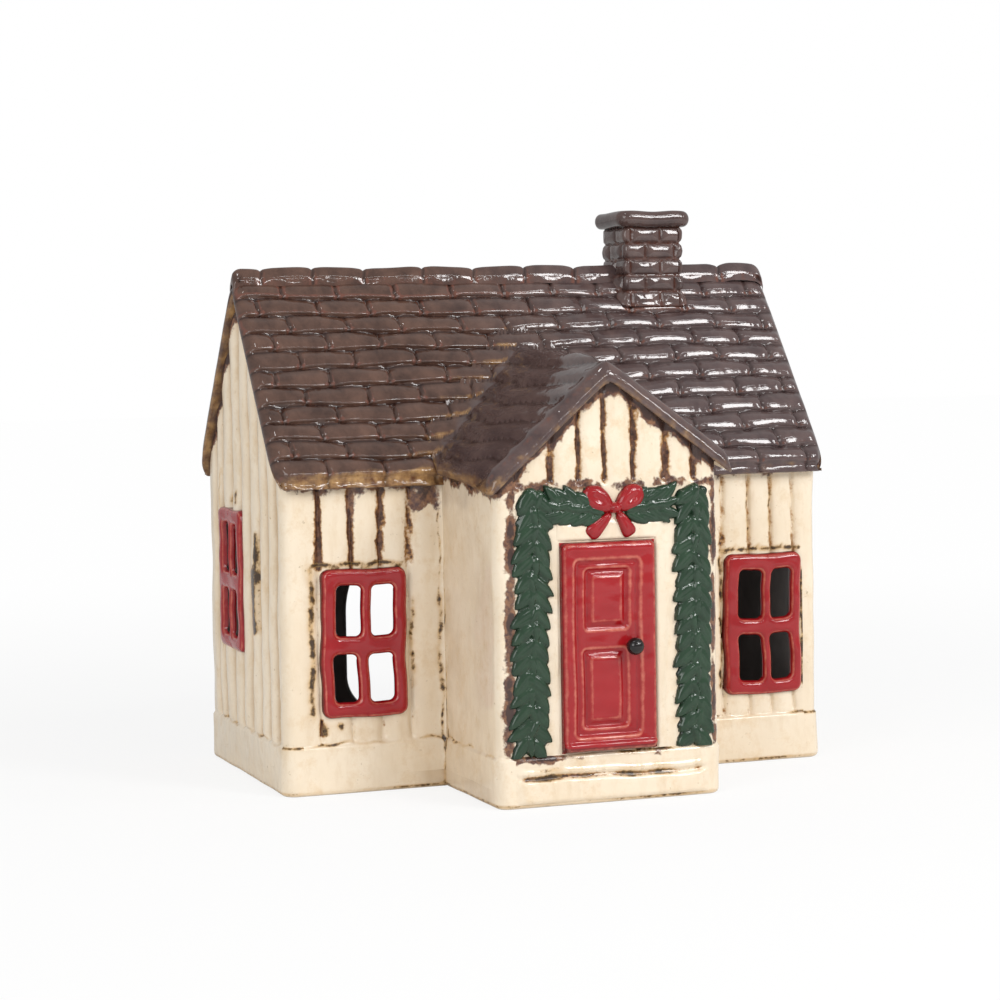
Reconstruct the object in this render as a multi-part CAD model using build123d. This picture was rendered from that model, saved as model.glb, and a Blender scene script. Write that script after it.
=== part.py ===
"""Ceramic tealight house with a porch, a chimney and a tealight inside.

The house faces the front along -Y. X runs along the long wall, Z is up, and
the origin lies on the resting face, under the middle of the footprint.
All lengths are in millimetres.
"""
import os
from math import atan2, cos, degrees, hypot, radians, sin, sqrt, tan

from build123d import *

# Walls of the main house
house_width = 150.0
house_depth = 75.0
wall_thickness = 4.5
base_thickness = 4.5
corner_radius = 3.0
foot_chamfer = 0.8

# Plinth band at the foot of every wall
plinth_height = 12.5
plinth_projection = 0.6

# Boards pressed into the walls, parted by V grooves half as deep as wide
groove_width = 1.3
gable_board_count = 9
front_left_board_count = 5
front_right_board_count = 7
porch_board_count = 8

# Porch in front of the long wall
porch_depth = 39.8
porch_left_x = -32.3
porch_right_x = 27.2
porch_field_margin = 1.0

# Main roof
eave_overhang = 3.3
gable_overhang = 2.2
eave_edge_height = 81.5
eave_fascia = 3.5
roof_apex_height = 134.0
roof_thickness = 3.4
course_count = 11
ridge_leg = 3.2
shingle_butt = 0.8
shingle_width = 15.0
shingle_joint_width = 1.2

# Ridge tiles
ridge_tile_rise = 0.4
ridge_tile_gap = 0.4

# Porch roof
porch_apex_height = 108.7
porch_ridge_climb = 3.7
porch_left_overhang = 2.3
porch_left_edge_height = 80.0
porch_left_fascia = 2.4
porch_right_overhang = 3.7
porch_right_edge_height = 83.8
porch_right_fascia = 2.6
porch_roof_thickness = 3.4
porch_roof_overhang = 1.8

# Chimney
chimney_left_x = 32.0
chimney_width = 17.4
chimney_depth = 16.9
chimney_wall = 4.2
chimney_top = 149.3
chimney_cap_height = 4.3
chimney_cap_overhang = 2.1
chimney_cap_corner = 1.5
chimney_cap_roll = 1.7
brick_course_height = 4.4
brick_joint_width = 0.6
brick_joint_depth = 0.4
brick_visible_courses = 5

# Windows
window_width = 22.8
window_height = 38.2
window_corner = 2.4
window_projection = 1.1
window_fit_gap = 0.1
window_border = 1.6
stile_width = 4.1
muntin_width = 2.8
top_rail = 4.3
middle_rail = 4.7
bottom_rail = 3.9
pane_corner = 1.4
window_sill_bevel = 0.5
front_left_window_margin_share = 0.338
front_left_window_z = 38.4
front_right_window_margin = 0.7
front_right_window_z = 37.3
gable_window_from_front = 48.5
gable_window_z = 51.7

# Rear opening for the tealight
opening_width = 76.0
opening_sill = 10.0
opening_top = 63.7
opening_top_corner = 25.0
opening_bottom_corner = 10.0

# Door and its surround
door_width = 25.2
door_offset = -0.75
door_bottom = 13.0
door_head_room = 14.9
door_relief = 1.9
door_corner = 0.8
door_gap = 0.25
door_left_stile = 3.5
door_right_stile = 4.8
door_top_rail = 4.7
door_bottom_rail = 4.2
door_field_recess = 0.7
door_panel_recess = 0.6
door_panel_margin = 2.6
door_panel_raise_inset = 1.6
door_lock_rail = 5.3
door_lock_rail_share = 0.486
door_kick_height = 2.6
door_kick_projection = 0.7
surround_relief = 1.0
surround_left_post = 2.1
surround_right_post = 4.2
surround_lintel = 6.6
surround_corner = 0.9

# Door knob, whose turned profile is given as shares of its radius and length
knob_from_edge = 6.9
knob_height_share = 0.5
knob_radius = 2.2
knob_length = 5.0
knob_profile_shares = ((0.5, 0), (0.5, 0.2), (0.87, 0.34), (1, 0.58),
                       (0.87, 0.82), (0.5, 0.96), (0, 1))

# Garland round the door
garland_relief = 1.3
garland_needle_relief = 1.1
garland_bottom = 13.2
garland_width = 11.4
garland_gap = 0.35
garland_eave_gap = 1.0
garland_tuft_count = 13
garland_scallop = 1.2
needle_pair_lean = 35.0
needle_width = 1.7
swag_tuft_count = 3
piece_gap = 0.3

# Bow over the door
bow_offset = 1.25
bow_rise = 2.45
bow_relief = 2.4
bow_knot_radius = 1.7
bow_loop_length = 7.6
bow_loop_height = 5.6
bow_loop_lift = 12.0
bow_loop_eye = 1.1
bow_tail_length = 8.6
bow_tail_width = 4.0
bow_tail_splay = 34.0
bow_edge_bevel = 0.5
bow_field_margin = 0.6

# Doorstep set into the plinth under the door
step_left_inset = 3.5
step_right_inset = 3.2
step_split_height = 6.8
step_joint = 0.7
step_recess = 1.3
step_tread_back = 0.5
step_edge_round = 0.4

# Tealight
tealight_from_front = 32.0
cup_radius = 19.0
cup_height = 16.0
cup_wall = 0.4
cup_bead = 0.5
wax_gap = 0.1
wax_height = 12.6
wax_dish = 0.8
wick_radius = 0.6
wick_above_wax = 5.0
sustainer_radius = 7.0
sustainer_thickness = 0.3
sustainer_collar_radius = 1.3
sustainer_collar_height = 2.4

# One overrun serves every cut
overrun = 5.0

# Places worked out from the sizes above
front_y = (porch_depth - house_depth) / 2
rear_y = front_y + house_depth
ridge_y = front_y + house_depth / 2
porch_y = front_y - porch_depth
half_width = house_width / 2
inner_half_width = half_width - wall_thickness
eave_y = front_y - eave_overhang
roof_half_length = half_width + gable_overhang
soffit_height = eave_edge_height - eave_fascia
roof_run = ridge_y - eave_y
roof_pitch = atan2(roof_apex_height - eave_edge_height, roof_run)
slope_length = hypot(roof_run, roof_apex_height - eave_edge_height)
course_exposure = (slope_length - ridge_leg) / course_count
roof_drop = roof_thickness / cos(roof_pitch)
chimney_right_x = chimney_left_x + chimney_width
chimney_x = (chimney_left_x + chimney_right_x) / 2
chimney_front_y = ridge_y - chimney_depth / 2
flue_width = chimney_width - 2 * chimney_wall
flue_depth = chimney_depth - 2 * chimney_wall
cap_bottom = chimney_top - chimney_cap_height
porch_apex_x = (porch_left_x + porch_right_x) / 2
porch_nose_y = porch_y - porch_roof_overhang
left_stretch = inner_half_width + porch_left_x
left_window_spare = left_stretch - window_width
left_window_margin = left_window_spare * front_left_window_margin_share
front_left_window_x = left_window_margin + window_width / 2 - inner_half_width
right_window_edge = inner_half_width - front_right_window_margin
front_right_window_x = right_window_edge - window_width / 2
door_left_x = porch_apex_x + door_offset - door_width / 2
door_right_x = door_left_x + door_width
door_top = porch_left_edge_height - door_head_room
door_height = door_top - door_bottom
lock_rail_z = door_bottom + door_height * door_lock_rail_share
knob_x = door_right_x - knob_from_edge
knob_z = door_bottom + door_height * knob_height_share
porch_field_top = porch_left_edge_height + porch_field_margin
surround_left_x = door_left_x - door_gap - surround_left_post
surround_right_x = door_right_x + door_gap + surround_right_post
surround_top = door_top + door_gap + surround_lintel
garland_left_inner_x = surround_left_x - garland_gap
garland_left_outer_x = garland_left_inner_x - garland_width
garland_right_inner_x = surround_right_x + garland_gap
garland_right_outer_x = garland_right_inner_x + garland_width
bow_x = porch_apex_x + bow_offset
bow_z = surround_top + bow_rise
step_left_x = porch_left_x + step_left_inset
step_right_x = porch_right_x - step_right_inset
bow_field_half = bow_loop_length + bow_field_margin

# Walls are drawn this tall before the roof trims them
tall = chimney_top


def block(x0, x1, y0, y1, z0, z1):
    """A box between two corners."""
    box = Box(x1 - x0, y1 - y0, z1 - z0)
    return Pos((x0 + x1) / 2, (y0 + y1) / 2, (z0 + z1) / 2) * box


def prism_along_x(points, x0, x1):
    """A polygon of (y, z) points carried from x0 to x1."""
    face = make_face(Polyline(*[(x0, y, z) for y, z in points], close=True))
    return extrude(face, amount=x1 - x0, dir=(1, 0, 0))


def prism_along_y(points, y0, y1, climb=0.0):
    """A polygon of (x, z) points carried from y0 to y1, rising by climb."""
    face = make_face(Polyline(*[(x, y0, z) for x, z in points], close=True))
    path = Vector(0, y1 - y0, climb)
    return extrude(face, amount=path.length, dir=path)


def front_relief(sketch, base_y, relief):
    """A sketch drawn in X and Z, raised towards the front from base_y."""
    plane = Plane(origin=(0, base_y, 0), x_dir=(1, 0, 0), z_dir=(0, -1, 0))
    return extrude(plane * sketch, amount=relief)


def round_upright_edges(solid, x_side, radius):
    """Rounds the two upright edges on one side of a block."""
    edges = solid.edges().filter_by(Axis.Z).group_by(Axis.X)[x_side]
    return fillet(edges, radius)


# Planes of the main roof
def front_slope_height(y):
    """Height of the outer plane of the front slope at y."""
    return eave_edge_height + (y - eave_y) * tan(roof_pitch)


def slope_point(s, n):
    """A (y, z) point s up the front slope and n out of its outer plane."""
    y = eave_y + s * cos(roof_pitch) - n * sin(roof_pitch)
    z = eave_edge_height + s * sin(roof_pitch) + n * cos(roof_pitch)
    return y, z


def under_main_roof():
    """Everything below the inner planes of the two main slopes."""
    low_y = eave_y - overrun
    high_y = 2 * ridge_y - low_y
    side_height = front_slope_height(low_y) - roof_drop
    points = [(low_y, 0), (high_y, 0), (high_y, side_height)]
    points += [(ridge_y, roof_apex_height - roof_drop), (low_y, side_height)]
    return prism_along_x(points, -roof_half_length, roof_half_length)


# Planes of the porch roof, where side is -1 on the left and 1 on the right
def porch_edge(side):
    """The x, height and fascia of the eave of one slope of the porch roof."""
    if side < 0:
        left_x = porch_left_x - porch_left_overhang
        return left_x, porch_left_edge_height, porch_left_fascia
    right_x = porch_right_x + porch_right_overhang
    return right_x, porch_right_edge_height, porch_right_fascia


def porch_slope(side):
    """Pitch and vertical thickness of one slope of the porch roof."""
    edge_x, edge_height, _ = porch_edge(side)
    pitch = atan2(porch_apex_height - edge_height, abs(edge_x - porch_apex_x))
    return pitch, porch_roof_thickness / cos(pitch)


def porch_inner_height(side, x):
    """Height of the inner plane of a porch slope at the front nose."""
    pitch, drop = porch_slope(side)
    return porch_apex_height - abs(x - porch_apex_x) * tan(pitch) - drop


garland_top = porch_inner_height(-1, garland_left_outer_x) - garland_eave_gap
swag_depth = garland_top - surround_top - piece_gap


def under_porch_roof(left_x, right_x):
    """Everything below the inner planes of the porch roof between two sides."""
    run = rear_y - porch_nose_y
    climb = porch_ridge_climb * run / (ridge_y - porch_nose_y)
    thickest = max(porch_slope(-1)[1], porch_slope(1)[1])
    points = [(left_x, -overrun), (right_x, -overrun)]
    points += [(right_x, porch_inner_height(1, right_x))]
    points += [(porch_apex_x, porch_apex_height - thickest)]
    points += [(left_x, porch_inner_height(-1, left_x))]
    return prism_along_y(points, porch_nose_y, rear_y, climb)


# Board grooves
def wall_groove(x, y):
    """An upright V groove centred on a wall face, cut by a turned bar."""
    height = tall - plinth_height
    bar = Rot(0, 0, 45) * Box(groove_width / sqrt(2), groove_width / sqrt(2), height)
    return Pos(x, y, plinth_height + height / 2) * bar


def even_places(start, end, count):
    """The joints between count equal boards laid from start to end."""
    pitch = (end - start) / count
    return [start + pitch * i for i in range(1, count)]


# Windows
def window_outline(width, height, corner):
    return RectangleRounded(width, height, corner)


def front_window_place(x, z):
    """Places a window drawn flat so that it looks to the front."""
    plane = Plane(origin=(x, front_y, z), x_dir=(1, 0, 0), z_dir=(0, -1, 0))
    return plane.location


def gable_window_place():
    """Places a window so that it looks out of the left gable."""
    centre = (-half_width, front_y + gable_window_from_front, gable_window_z)
    plane = Plane(origin=centre, x_dir=(0, -1, 0), z_dir=(-1, 0, 0))
    return plane.location


def window_hole():
    """The hole that one window fills, centred on the face of the wall."""
    gap = 2 * window_fit_gap
    outline = window_outline(window_width + gap, window_height + gap, window_corner)
    return extrude(outline, amount=2 * wall_thickness, both=True)


def window_margin():
    """The smooth border round one window, where no groove runs."""
    wide = window_width + 2 * window_border
    high = window_height + 2 * window_border
    return Box(wide, high, 2 * wall_thickness)


def window_grille():
    """One red window: a rounded frame with two by two open panes."""
    outline = window_outline(window_width, window_height, window_corner)
    body = extrude(outline, amount=window_projection)
    body += extrude(outline, amount=-wall_thickness)
    pane_width = (window_width - 2 * stile_width - muntin_width) / 2
    pane_height = (window_height - top_rail - middle_rail - bottom_rail) / 2
    low_centre = bottom_rail + pane_height / 2 - window_height / 2
    high_centre = window_height / 2 - top_rail - pane_height / 2
    side = (muntin_width + pane_width) / 2
    pane = RectangleRounded(pane_width, pane_height, pane_corner)
    for x in (-side, side):
        for y in (low_centre, high_centre):
            hole = extrude(pane, amount=wall_thickness + overrun, both=True)
            body -= Pos(x, y, 0) * hole
    rim = body.faces().sort_by(Axis.Z)[-1].outer_wire().edges()
    return chamfer(rim, window_sill_bevel)


# Walls
def base_slab():
    """The floor that the walls stand on, in the shape of the footprint."""
    edge = plinth_projection
    main = block(-half_width - edge, half_width + edge,
                 front_y - edge, rear_y + edge, 0, base_thickness)
    porch = block(porch_left_x - edge, porch_right_x + edge,
                  porch_y - edge, front_y, 0, base_thickness)
    main = round_upright_edges(main, 0, corner_radius)
    main = round_upright_edges(main, -1, corner_radius)
    front = porch.edges().filter_by(Axis.Z).group_by(Axis.Y)[0]
    slab = main + fillet(front, corner_radius)
    slab = chamfer(slab.faces().sort_by(Axis.Z)[0].edges(), foot_chamfer)
    slab -= step_recess_block(-overrun, base_thickness + overrun)
    return slab


def step_recess_block(low, high):
    """The shallow recess that holds the doorstep."""
    face = porch_y - plinth_projection
    return block(step_left_x - piece_gap, step_right_x + piece_gap,
                 face - overrun, face + step_recess, low, high)


def gable_wall(side):
    """A gable wall with its boards; side is -1 on the left, 1 on the right."""
    outer = side * half_width
    inner = side * inner_half_width
    low_x, high_x = sorted((outer, inner))
    wall = block(low_x, high_x, front_y, rear_y, base_thickness, tall)
    index = 0 if side < 0 else -1
    wall = round_upright_edges(wall, index, corner_radius)
    edge = plinth_projection
    foot_low, foot_high = sorted((outer + side * edge, inner))
    foot = block(foot_low, foot_high, front_y - edge, rear_y + edge,
                 base_thickness, plinth_height)
    wall += round_upright_edges(foot, index, corner_radius)
    places = even_places(front_y, rear_y, gable_board_count)
    grooves = Part() + [wall_groove(outer, y) for y in places]
    if side < 0:
        grooves -= gable_window_place() * window_margin()
        wall -= gable_window_place() * window_hole()
    return (wall - grooves) & under_main_roof()


def front_wall(side, board_count, window_place):
    """The front wall on one side of the porch; side is -1 on the left."""
    porch_x = porch_left_x if side < 0 else porch_right_x
    low_x, high_x = sorted((side * inner_half_width, porch_x))
    wall = block(low_x, high_x, front_y, front_y + wall_thickness,
                 base_thickness, tall)
    foot_x = sorted((side * inner_half_width, porch_x + side * plinth_projection))
    wall += block(*foot_x, front_y - plinth_projection, front_y,
                  base_thickness, plinth_height)
    places = even_places(*sorted((side * half_width, porch_x)), board_count)
    grooves = Part() + [wall_groove(x, front_y) for x in places]
    grooves -= window_place * window_margin()
    wall -= window_place * window_hole()
    return (wall - grooves) & under_main_roof()


def front_left_wall():
    place = front_window_place(front_left_window_x, front_left_window_z)
    return front_wall(-1, front_left_board_count, place)


def front_right_wall():
    place = front_window_place(front_right_window_x, front_right_window_z)
    return front_wall(1, front_right_board_count, place)


def rear_opening():
    """The arched opening in the rear wall, as a cutting solid."""
    height = opening_top - opening_sill
    width = opening_width
    outline = Rectangle(width, height)
    corners = outline.vertices().group_by(Axis.Y)
    outline = fillet(corners[-1], opening_top_corner)
    outline = fillet(outline.vertices().group_by(Axis.Y)[0], opening_bottom_corner)
    centre = (0, rear_y, opening_sill + height / 2)
    plane = Plane(origin=centre, x_dir=(1, 0, 0), z_dir=(0, -1, 0))
    return extrude(plane * outline, amount=2 * wall_thickness, both=True)


def rear_wall():
    """The plain rear wall with the opening for the tealight."""
    wall = block(-inner_half_width, inner_half_width, rear_y - wall_thickness,
                 rear_y, base_thickness, tall)
    wall += block(-inner_half_width, inner_half_width, rear_y,
                  rear_y + plinth_projection, base_thickness, plinth_height)
    return (wall - rear_opening()) & under_main_roof()


def porch_side_wall(side):
    """A side wall of the porch; side is -1 on the left, 1 on the right."""
    outer = porch_left_x if side < 0 else porch_right_x
    low_x, high_x = sorted((outer, outer - side * wall_thickness))
    wall = block(low_x, high_x, porch_y + wall_thickness,
                 front_y + wall_thickness, base_thickness, tall)
    foot_low, foot_high = sorted((outer, outer + side * plinth_projection))
    wall += block(foot_low, foot_high, porch_y + wall_thickness, front_y,
                  base_thickness, plinth_height)
    return wall & under_porch_roof(porch_left_x - overrun, porch_right_x + overrun)


def porch_front_wall():
    """The porch gable: a flat field for the door, boards above it."""
    wall = block(porch_left_x, porch_right_x, porch_y,
                 porch_y + wall_thickness, base_thickness, tall)
    front = wall.edges().filter_by(Axis.Z).group_by(Axis.Y)[0]
    wall = fillet(front, corner_radius)
    edge = plinth_projection
    foot = block(porch_left_x - edge, porch_right_x + edge, porch_y - edge,
                 porch_y + wall_thickness, base_thickness, plinth_height)
    front = foot.edges().filter_by(Axis.Z).group_by(Axis.Y)[0]
    wall += fillet(front, corner_radius)
    places = even_places(porch_left_x, porch_right_x, porch_board_count)
    grooves = Part() + [wall_groove(x, porch_y) for x in places]
    field = block(porch_left_x, porch_right_x, porch_y - overrun,
                  porch_y + overrun, 0, porch_field_top)
    wall -= grooves - field
    wall -= step_recess_block(0, plinth_height)
    return wall & under_porch_roof(porch_left_x - overrun, porch_right_x + overrun)


# Main roof
def shingled_slope():
    """The front slope: a slab whose outer face steps down course by course."""
    outline = []
    for i in range(course_count):
        outline.append(slope_point(course_exposure * i, 0))
        outline.append(slope_point(course_exposure * (i + 1), -shingle_butt))
    apex_step = shingle_butt / cos(roof_pitch)
    outline.append((ridge_y, roof_apex_height - apex_step))
    outline.append((ridge_y, roof_apex_height - roof_drop))
    soffit_y = eave_y + (soffit_height + roof_drop - eave_edge_height) / tan(roof_pitch)
    outline.append((soffit_y, soffit_height))
    outline.append((eave_y, soffit_height))
    slab = prism_along_x(outline, -roof_half_length, roof_half_length)
    return slab - shingle_joints()


def shingle_joints():
    """V joints between the shingles, staggered by half a shingle."""
    plane = Plane(origin=(0, eave_y, eave_edge_height), x_dir=(1, 0, 0),
                  z_dir=(0, -sin(roof_pitch), cos(roof_pitch)))
    side = shingle_joint_width / sqrt(2)
    joint = Rot(0, 45, 0) * Box(side, course_exposure, side)
    drop = degrees(atan2(shingle_butt, course_exposure))
    joints = []
    for i in range(course_count):
        x = -roof_half_length + shingle_width * (1 if i % 2 else 1 / 2)
        middle = course_exposure * (i + 1 / 2)
        while x < roof_half_length - shingle_joint_width:
            place = Pos(x, middle, -shingle_butt / 2) * Rot(-drop, 0, 0)
            joints.append(plane * place * joint)
            x += shingle_width
    return Part() + joints


def flue():
    """The flue that runs through the chimney and the ridge."""
    shaft = Box(flue_width, flue_depth, tall)
    return Pos(chimney_x, ridge_y, tall) * shaft


def front_roof_slope():
    """The front slope, cut away where the porch roof takes over."""
    porch_body = under_porch_roof(porch_left_x, porch_right_x)
    return shingled_slope() - flue() - porch_body


def rear_roof_slope():
    """The rear slope, a mirror of the front one without the porch."""
    behind = Plane(origin=(0, ridge_y, 0), z_dir=(0, 1, 0))
    return mirror(shingled_slope(), about=behind) - flue()


def ridge_tiles():
    """Bent tiles laid over the ridge, parted by small joints."""
    end_s = slope_length - ridge_leg
    upper_y, upper_z = slope_point(end_s, ridge_tile_rise)
    lower_y, lower_z = slope_point(end_s, -shingle_butt)
    top = roof_apex_height + ridge_tile_rise / cos(roof_pitch)
    bottom = roof_apex_height - shingle_butt / cos(roof_pitch)
    points = [(upper_y, upper_z), (ridge_y, top)]
    points += [(2 * ridge_y - upper_y, upper_z), (2 * ridge_y - lower_y, lower_z)]
    points += [(ridge_y, bottom), (lower_y, lower_z)]
    footprint = block(chimney_left_x - piece_gap, chimney_right_x + piece_gap,
                      front_y, rear_y, 0, tall)
    tiles = []
    start = -roof_half_length
    end = start + shingle_width / 2
    while start < roof_half_length - shingle_joint_width:
        tile = prism_along_x(points, start, end - ridge_tile_gap)
        tiles += list((tile - footprint).solids())
        start = end
        end = min(end + shingle_width, roof_half_length + ridge_tile_gap)
    return Compound(children=tiles)


# Porch roof
def outside_main_slope():
    """The space in front of the outer plane of the front slope."""
    low_y = porch_nose_y - overrun
    points = [(low_y, front_slope_height(low_y)), (ridge_y, roof_apex_height)]
    points += [(low_y, roof_apex_height)]
    return prism_along_x(points, -half_width, half_width)


def porch_roof_slope(side):
    """One slope of the porch roof; side is -1 on the left, 1 on the right."""
    edge_x, edge_height, fascia = porch_edge(side)
    pitch, drop = porch_slope(side)
    end_x = edge_x + side * overrun
    end_height = edge_height - overrun * tan(pitch)
    points = [(porch_apex_x, porch_apex_height), (end_x, end_height)]
    points += [(end_x, end_height - drop)]
    points += [(porch_apex_x, porch_apex_height - drop)]
    slope = prism_along_y(points, porch_nose_y, ridge_y, porch_ridge_climb)
    eave_side = sorted((porch_apex_x, edge_x))
    keep = block(*eave_side, porch_nose_y, ridge_y, edge_height - fascia, tall)
    return slope & keep & outside_main_slope()


# Chimney
def chimney_stack():
    """The brick stack, seated on both slopes, with its flue."""
    stack = block(chimney_left_x, chimney_right_x, chimney_front_y,
                  chimney_front_y + chimney_depth, roof_apex_height / 2,
                  cap_bottom)
    far_y = chimney_depth
    points = [(ridge_y, roof_apex_height)]
    points += [(ridge_y + far_y, roof_apex_height - far_y * tan(roof_pitch))]
    points += [(ridge_y + far_y, 0), (ridge_y - far_y, 0)]
    points += [(ridge_y - far_y, roof_apex_height - far_y * tan(roof_pitch))]
    stack -= prism_along_x(points, -half_width, half_width)
    return stack - flue() - brick_joints()


def brick_joints():
    """Mortar joints on the four faces of the stack, in running bond."""
    wide = chimney_width / 2
    deep = chimney_depth / 2
    depth = brick_joint_depth
    core = Box(chimney_width - 2 * depth, chimney_depth - 2 * depth, tall)
    shell = Box(chimney_width + overrun, chimney_depth + overrun,
                brick_joint_width) - core
    upright_x = Box(brick_joint_width, 2 * depth, brick_course_height)
    upright_y = Box(2 * depth, brick_joint_width, brick_course_height)
    joints = []
    for i in range(brick_visible_courses):
        z = cap_bottom - brick_course_height * (i + 1)
        middle = z + brick_course_height / 2
        joints.append(Pos(chimney_x, ridge_y, z) * shell)
        shares = (-1 / 2, 1 / 2) if i % 2 else (0,)
        for share in shares:
            for face in (-1, 1):
                joints.append(Pos(chimney_x + share * wide,
                                  ridge_y + face * deep, middle) * upright_x)
                joints.append(Pos(chimney_x + face * wide,
                                  ridge_y + share * deep, middle) * upright_y)
    return Part() + joints


def chimney_cap():
    """The rounded roll on top of the stack, with the mouth of the flue."""
    wide = chimney_width + 2 * chimney_cap_overhang
    deep = chimney_depth + 2 * chimney_cap_overhang
    cap = Box(wide, deep, chimney_cap_height)
    cap = chamfer(cap.edges().filter_by(Axis.Z), chimney_cap_corner)
    rim = cap.faces().sort_by(Axis.Z)[-1].edges()
    rim += cap.faces().sort_by(Axis.Z)[0].edges()
    cap = fillet(rim, min(chimney_cap_roll, chimney_cap_height / 2))
    place = Pos(chimney_x, ridge_y, cap_bottom + chimney_cap_height / 2)
    return place * cap - flue()


# Door
def rounded_outline(left, right, bottom, top, corner):
    """A rounded rectangle between four edges, in X and Z."""
    outline = RectangleRounded(right - left, top - bottom, corner)
    return Pos((left + right) / 2, (bottom + top) / 2) * outline


def square_outline(left, right, bottom, top):
    """A plain rectangle between four edges, in X and Z."""
    outline = Rectangle(right - left, top - bottom)
    return Pos((left + right) / 2, (bottom + top) / 2) * outline


def door_leaf():
    """The panelled door: stiles, a sunk field and two raised panels."""
    outline = rounded_outline(door_left_x, door_right_x, door_bottom, door_top,
                              door_corner)
    leaf = front_relief(outline, porch_y, door_relief)
    field = (door_left_x + door_left_stile, door_right_x - door_right_stile,
             door_bottom + door_bottom_rail, door_top - door_top_rail)
    field_y = porch_y - door_relief + door_field_recess
    leaf -= front_relief(rounded_outline(*field, door_corner), field_y, overrun)
    rails = ((field[2] + door_panel_margin / 2, lock_rail_z),
             (lock_rail_z + door_lock_rail, field[3] - door_panel_margin / 2))
    panel_y = field_y + door_panel_recess
    for low, high in rails:
        left = field[0] + door_panel_margin
        right = field[1] - door_panel_margin
        leaf -= front_relief(square_outline(left, right, low, high), panel_y,
                             overrun)
        inset = door_panel_raise_inset
        raised = square_outline(left + inset, right - inset, low + inset,
                                high - inset)
        leaf += front_relief(raised, panel_y, door_panel_recess)
    kick = square_outline(door_left_x, door_right_x, door_bottom,
                          door_bottom + door_kick_height)
    return leaf + front_relief(kick, porch_y, door_relief + door_kick_projection)


def door_surround():
    """The smooth cream frame round the door, with the field under the bow."""
    outer = rounded_outline(surround_left_x, surround_right_x, door_bottom,
                            surround_top, surround_corner)
    inner = rounded_outline(door_left_x - door_gap, door_right_x + door_gap,
                            door_bottom - overrun, door_top + door_gap,
                            surround_corner)
    pad = rounded_outline(bow_x - bow_field_half, bow_x + bow_field_half,
                          surround_top - surround_lintel / 2, garland_top,
                          surround_corner)
    return front_relief(outer + pad - inner, porch_y, surround_relief)


def door_knob():
    """A turned knob on a short neck, standing on the field of the door."""
    seat_y = porch_y - door_relief + door_field_recess
    points = [(0, 0)]
    for radius_share, length_share in knob_profile_shares:
        points.append((radius_share * knob_radius, -length_share * knob_length))
    face = make_face(Polyline(*points, close=True))
    return Pos(knob_x, seat_y, knob_z) * revolve(face, Axis.Y)


# Garland
def scalloped_column(left, right, bottom, top, tufts):
    """An upright strip whose two edges swell once for every tuft."""
    step = (top - bottom) / tufts
    middle = (left + right) / 2
    half = (right - left) / 2 - garland_scallop
    outline = Pos(middle, (bottom + top) / 2) * Rectangle(2 * half, top - bottom)
    for i in range(tufts):
        low = bottom + step * i
        tip = low + step / 2
        wide = half + garland_scallop
        points = [(middle - half, low), (middle + half, low), (middle + wide, tip)]
        points += [(middle + half, low + step), (middle - half, low + step)]
        points += [(middle - wide, tip)]
        outline += make_face(Polyline(*points, close=True))
    return outline


def needle_pairs(left, right, bottom, top, tufts):
    """Leaning needles in pairs up the middle of a column, as chevrons."""
    step = (top - bottom) / tufts
    middle = (left + right) / 2
    reach = (right - left) / 2 - garland_scallop
    rise = reach * tan(radians(needle_pair_lean))
    pairs = Sketch()
    for i in range(tufts):
        low = bottom + step * i
        if low + rise + needle_width > top:
            break
        points = [(middle, low), (middle + reach, low + rise)]
        points += [(middle + reach, low + rise + needle_width)]
        points += [(middle, low + needle_width)]
        points += [(middle - reach, low + rise + needle_width)]
        points += [(middle - reach, low + rise)]
        pairs += make_face(Polyline(*points, close=True))
    return pairs


def garland(left, right, bottom, top, tufts):
    """One upright piece of garland: a scalloped bed with needles on it."""
    bed = scalloped_column(left, right, bottom, top, tufts)
    needles = needle_pairs(left, right, bottom, top, tufts)
    solid = front_relief(bed, porch_y, garland_relief)
    return solid + front_relief(needles, porch_y - garland_relief,
                                garland_needle_relief)


def garland_swag(outer_x, inner_x):
    """A piece of garland lying over the door, from a column to the bow."""
    length = abs(inner_x - outer_x)
    bed = scalloped_column(-swag_depth / 2, swag_depth / 2, 0, length,
                           swag_tuft_count)
    needles = needle_pairs(-swag_depth / 2, swag_depth / 2, 0, length,
                           swag_tuft_count)
    turn = -90 if inner_x > outer_x else 90
    place = Pos(outer_x, garland_top - swag_depth / 2) * Rot(0, 0, turn)
    solid = front_relief(place * bed, porch_y, garland_relief)
    return solid + front_relief(place * needles, porch_y - garland_relief,
                                garland_needle_relief)


# Bow
def bow():
    """The ribbon bow: a knot, two loops with small eyes and two tails."""
    loops = Sketch()
    loop = Ellipse(bow_loop_length / 2, bow_loop_height / 2)
    loop -= Circle(bow_loop_eye / 2)
    tail = Ellipse(bow_tail_width / 2, bow_tail_length / 2)
    for side in (-1, 1):
        loop_place = Rot(0, 0, side * bow_loop_lift) * Pos(side * bow_loop_length / 2, 0)
        tail_place = Rot(0, 0, side * bow_tail_splay) * Pos(0, -bow_tail_length / 2)
        loops += loop_place * loop + tail_place * tail
    seat_y = porch_y - surround_relief
    ribbon = front_relief(Pos(bow_x, bow_z) * loops, seat_y, bow_relief * 2 / 3)
    knot = front_relief(Pos(bow_x, bow_z) * Circle(bow_knot_radius), seat_y,
                        bow_relief)
    edge = knot.faces().sort_by(Axis.Y)[0].edges()
    return ribbon + chamfer(edge, bow_edge_bevel)


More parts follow.
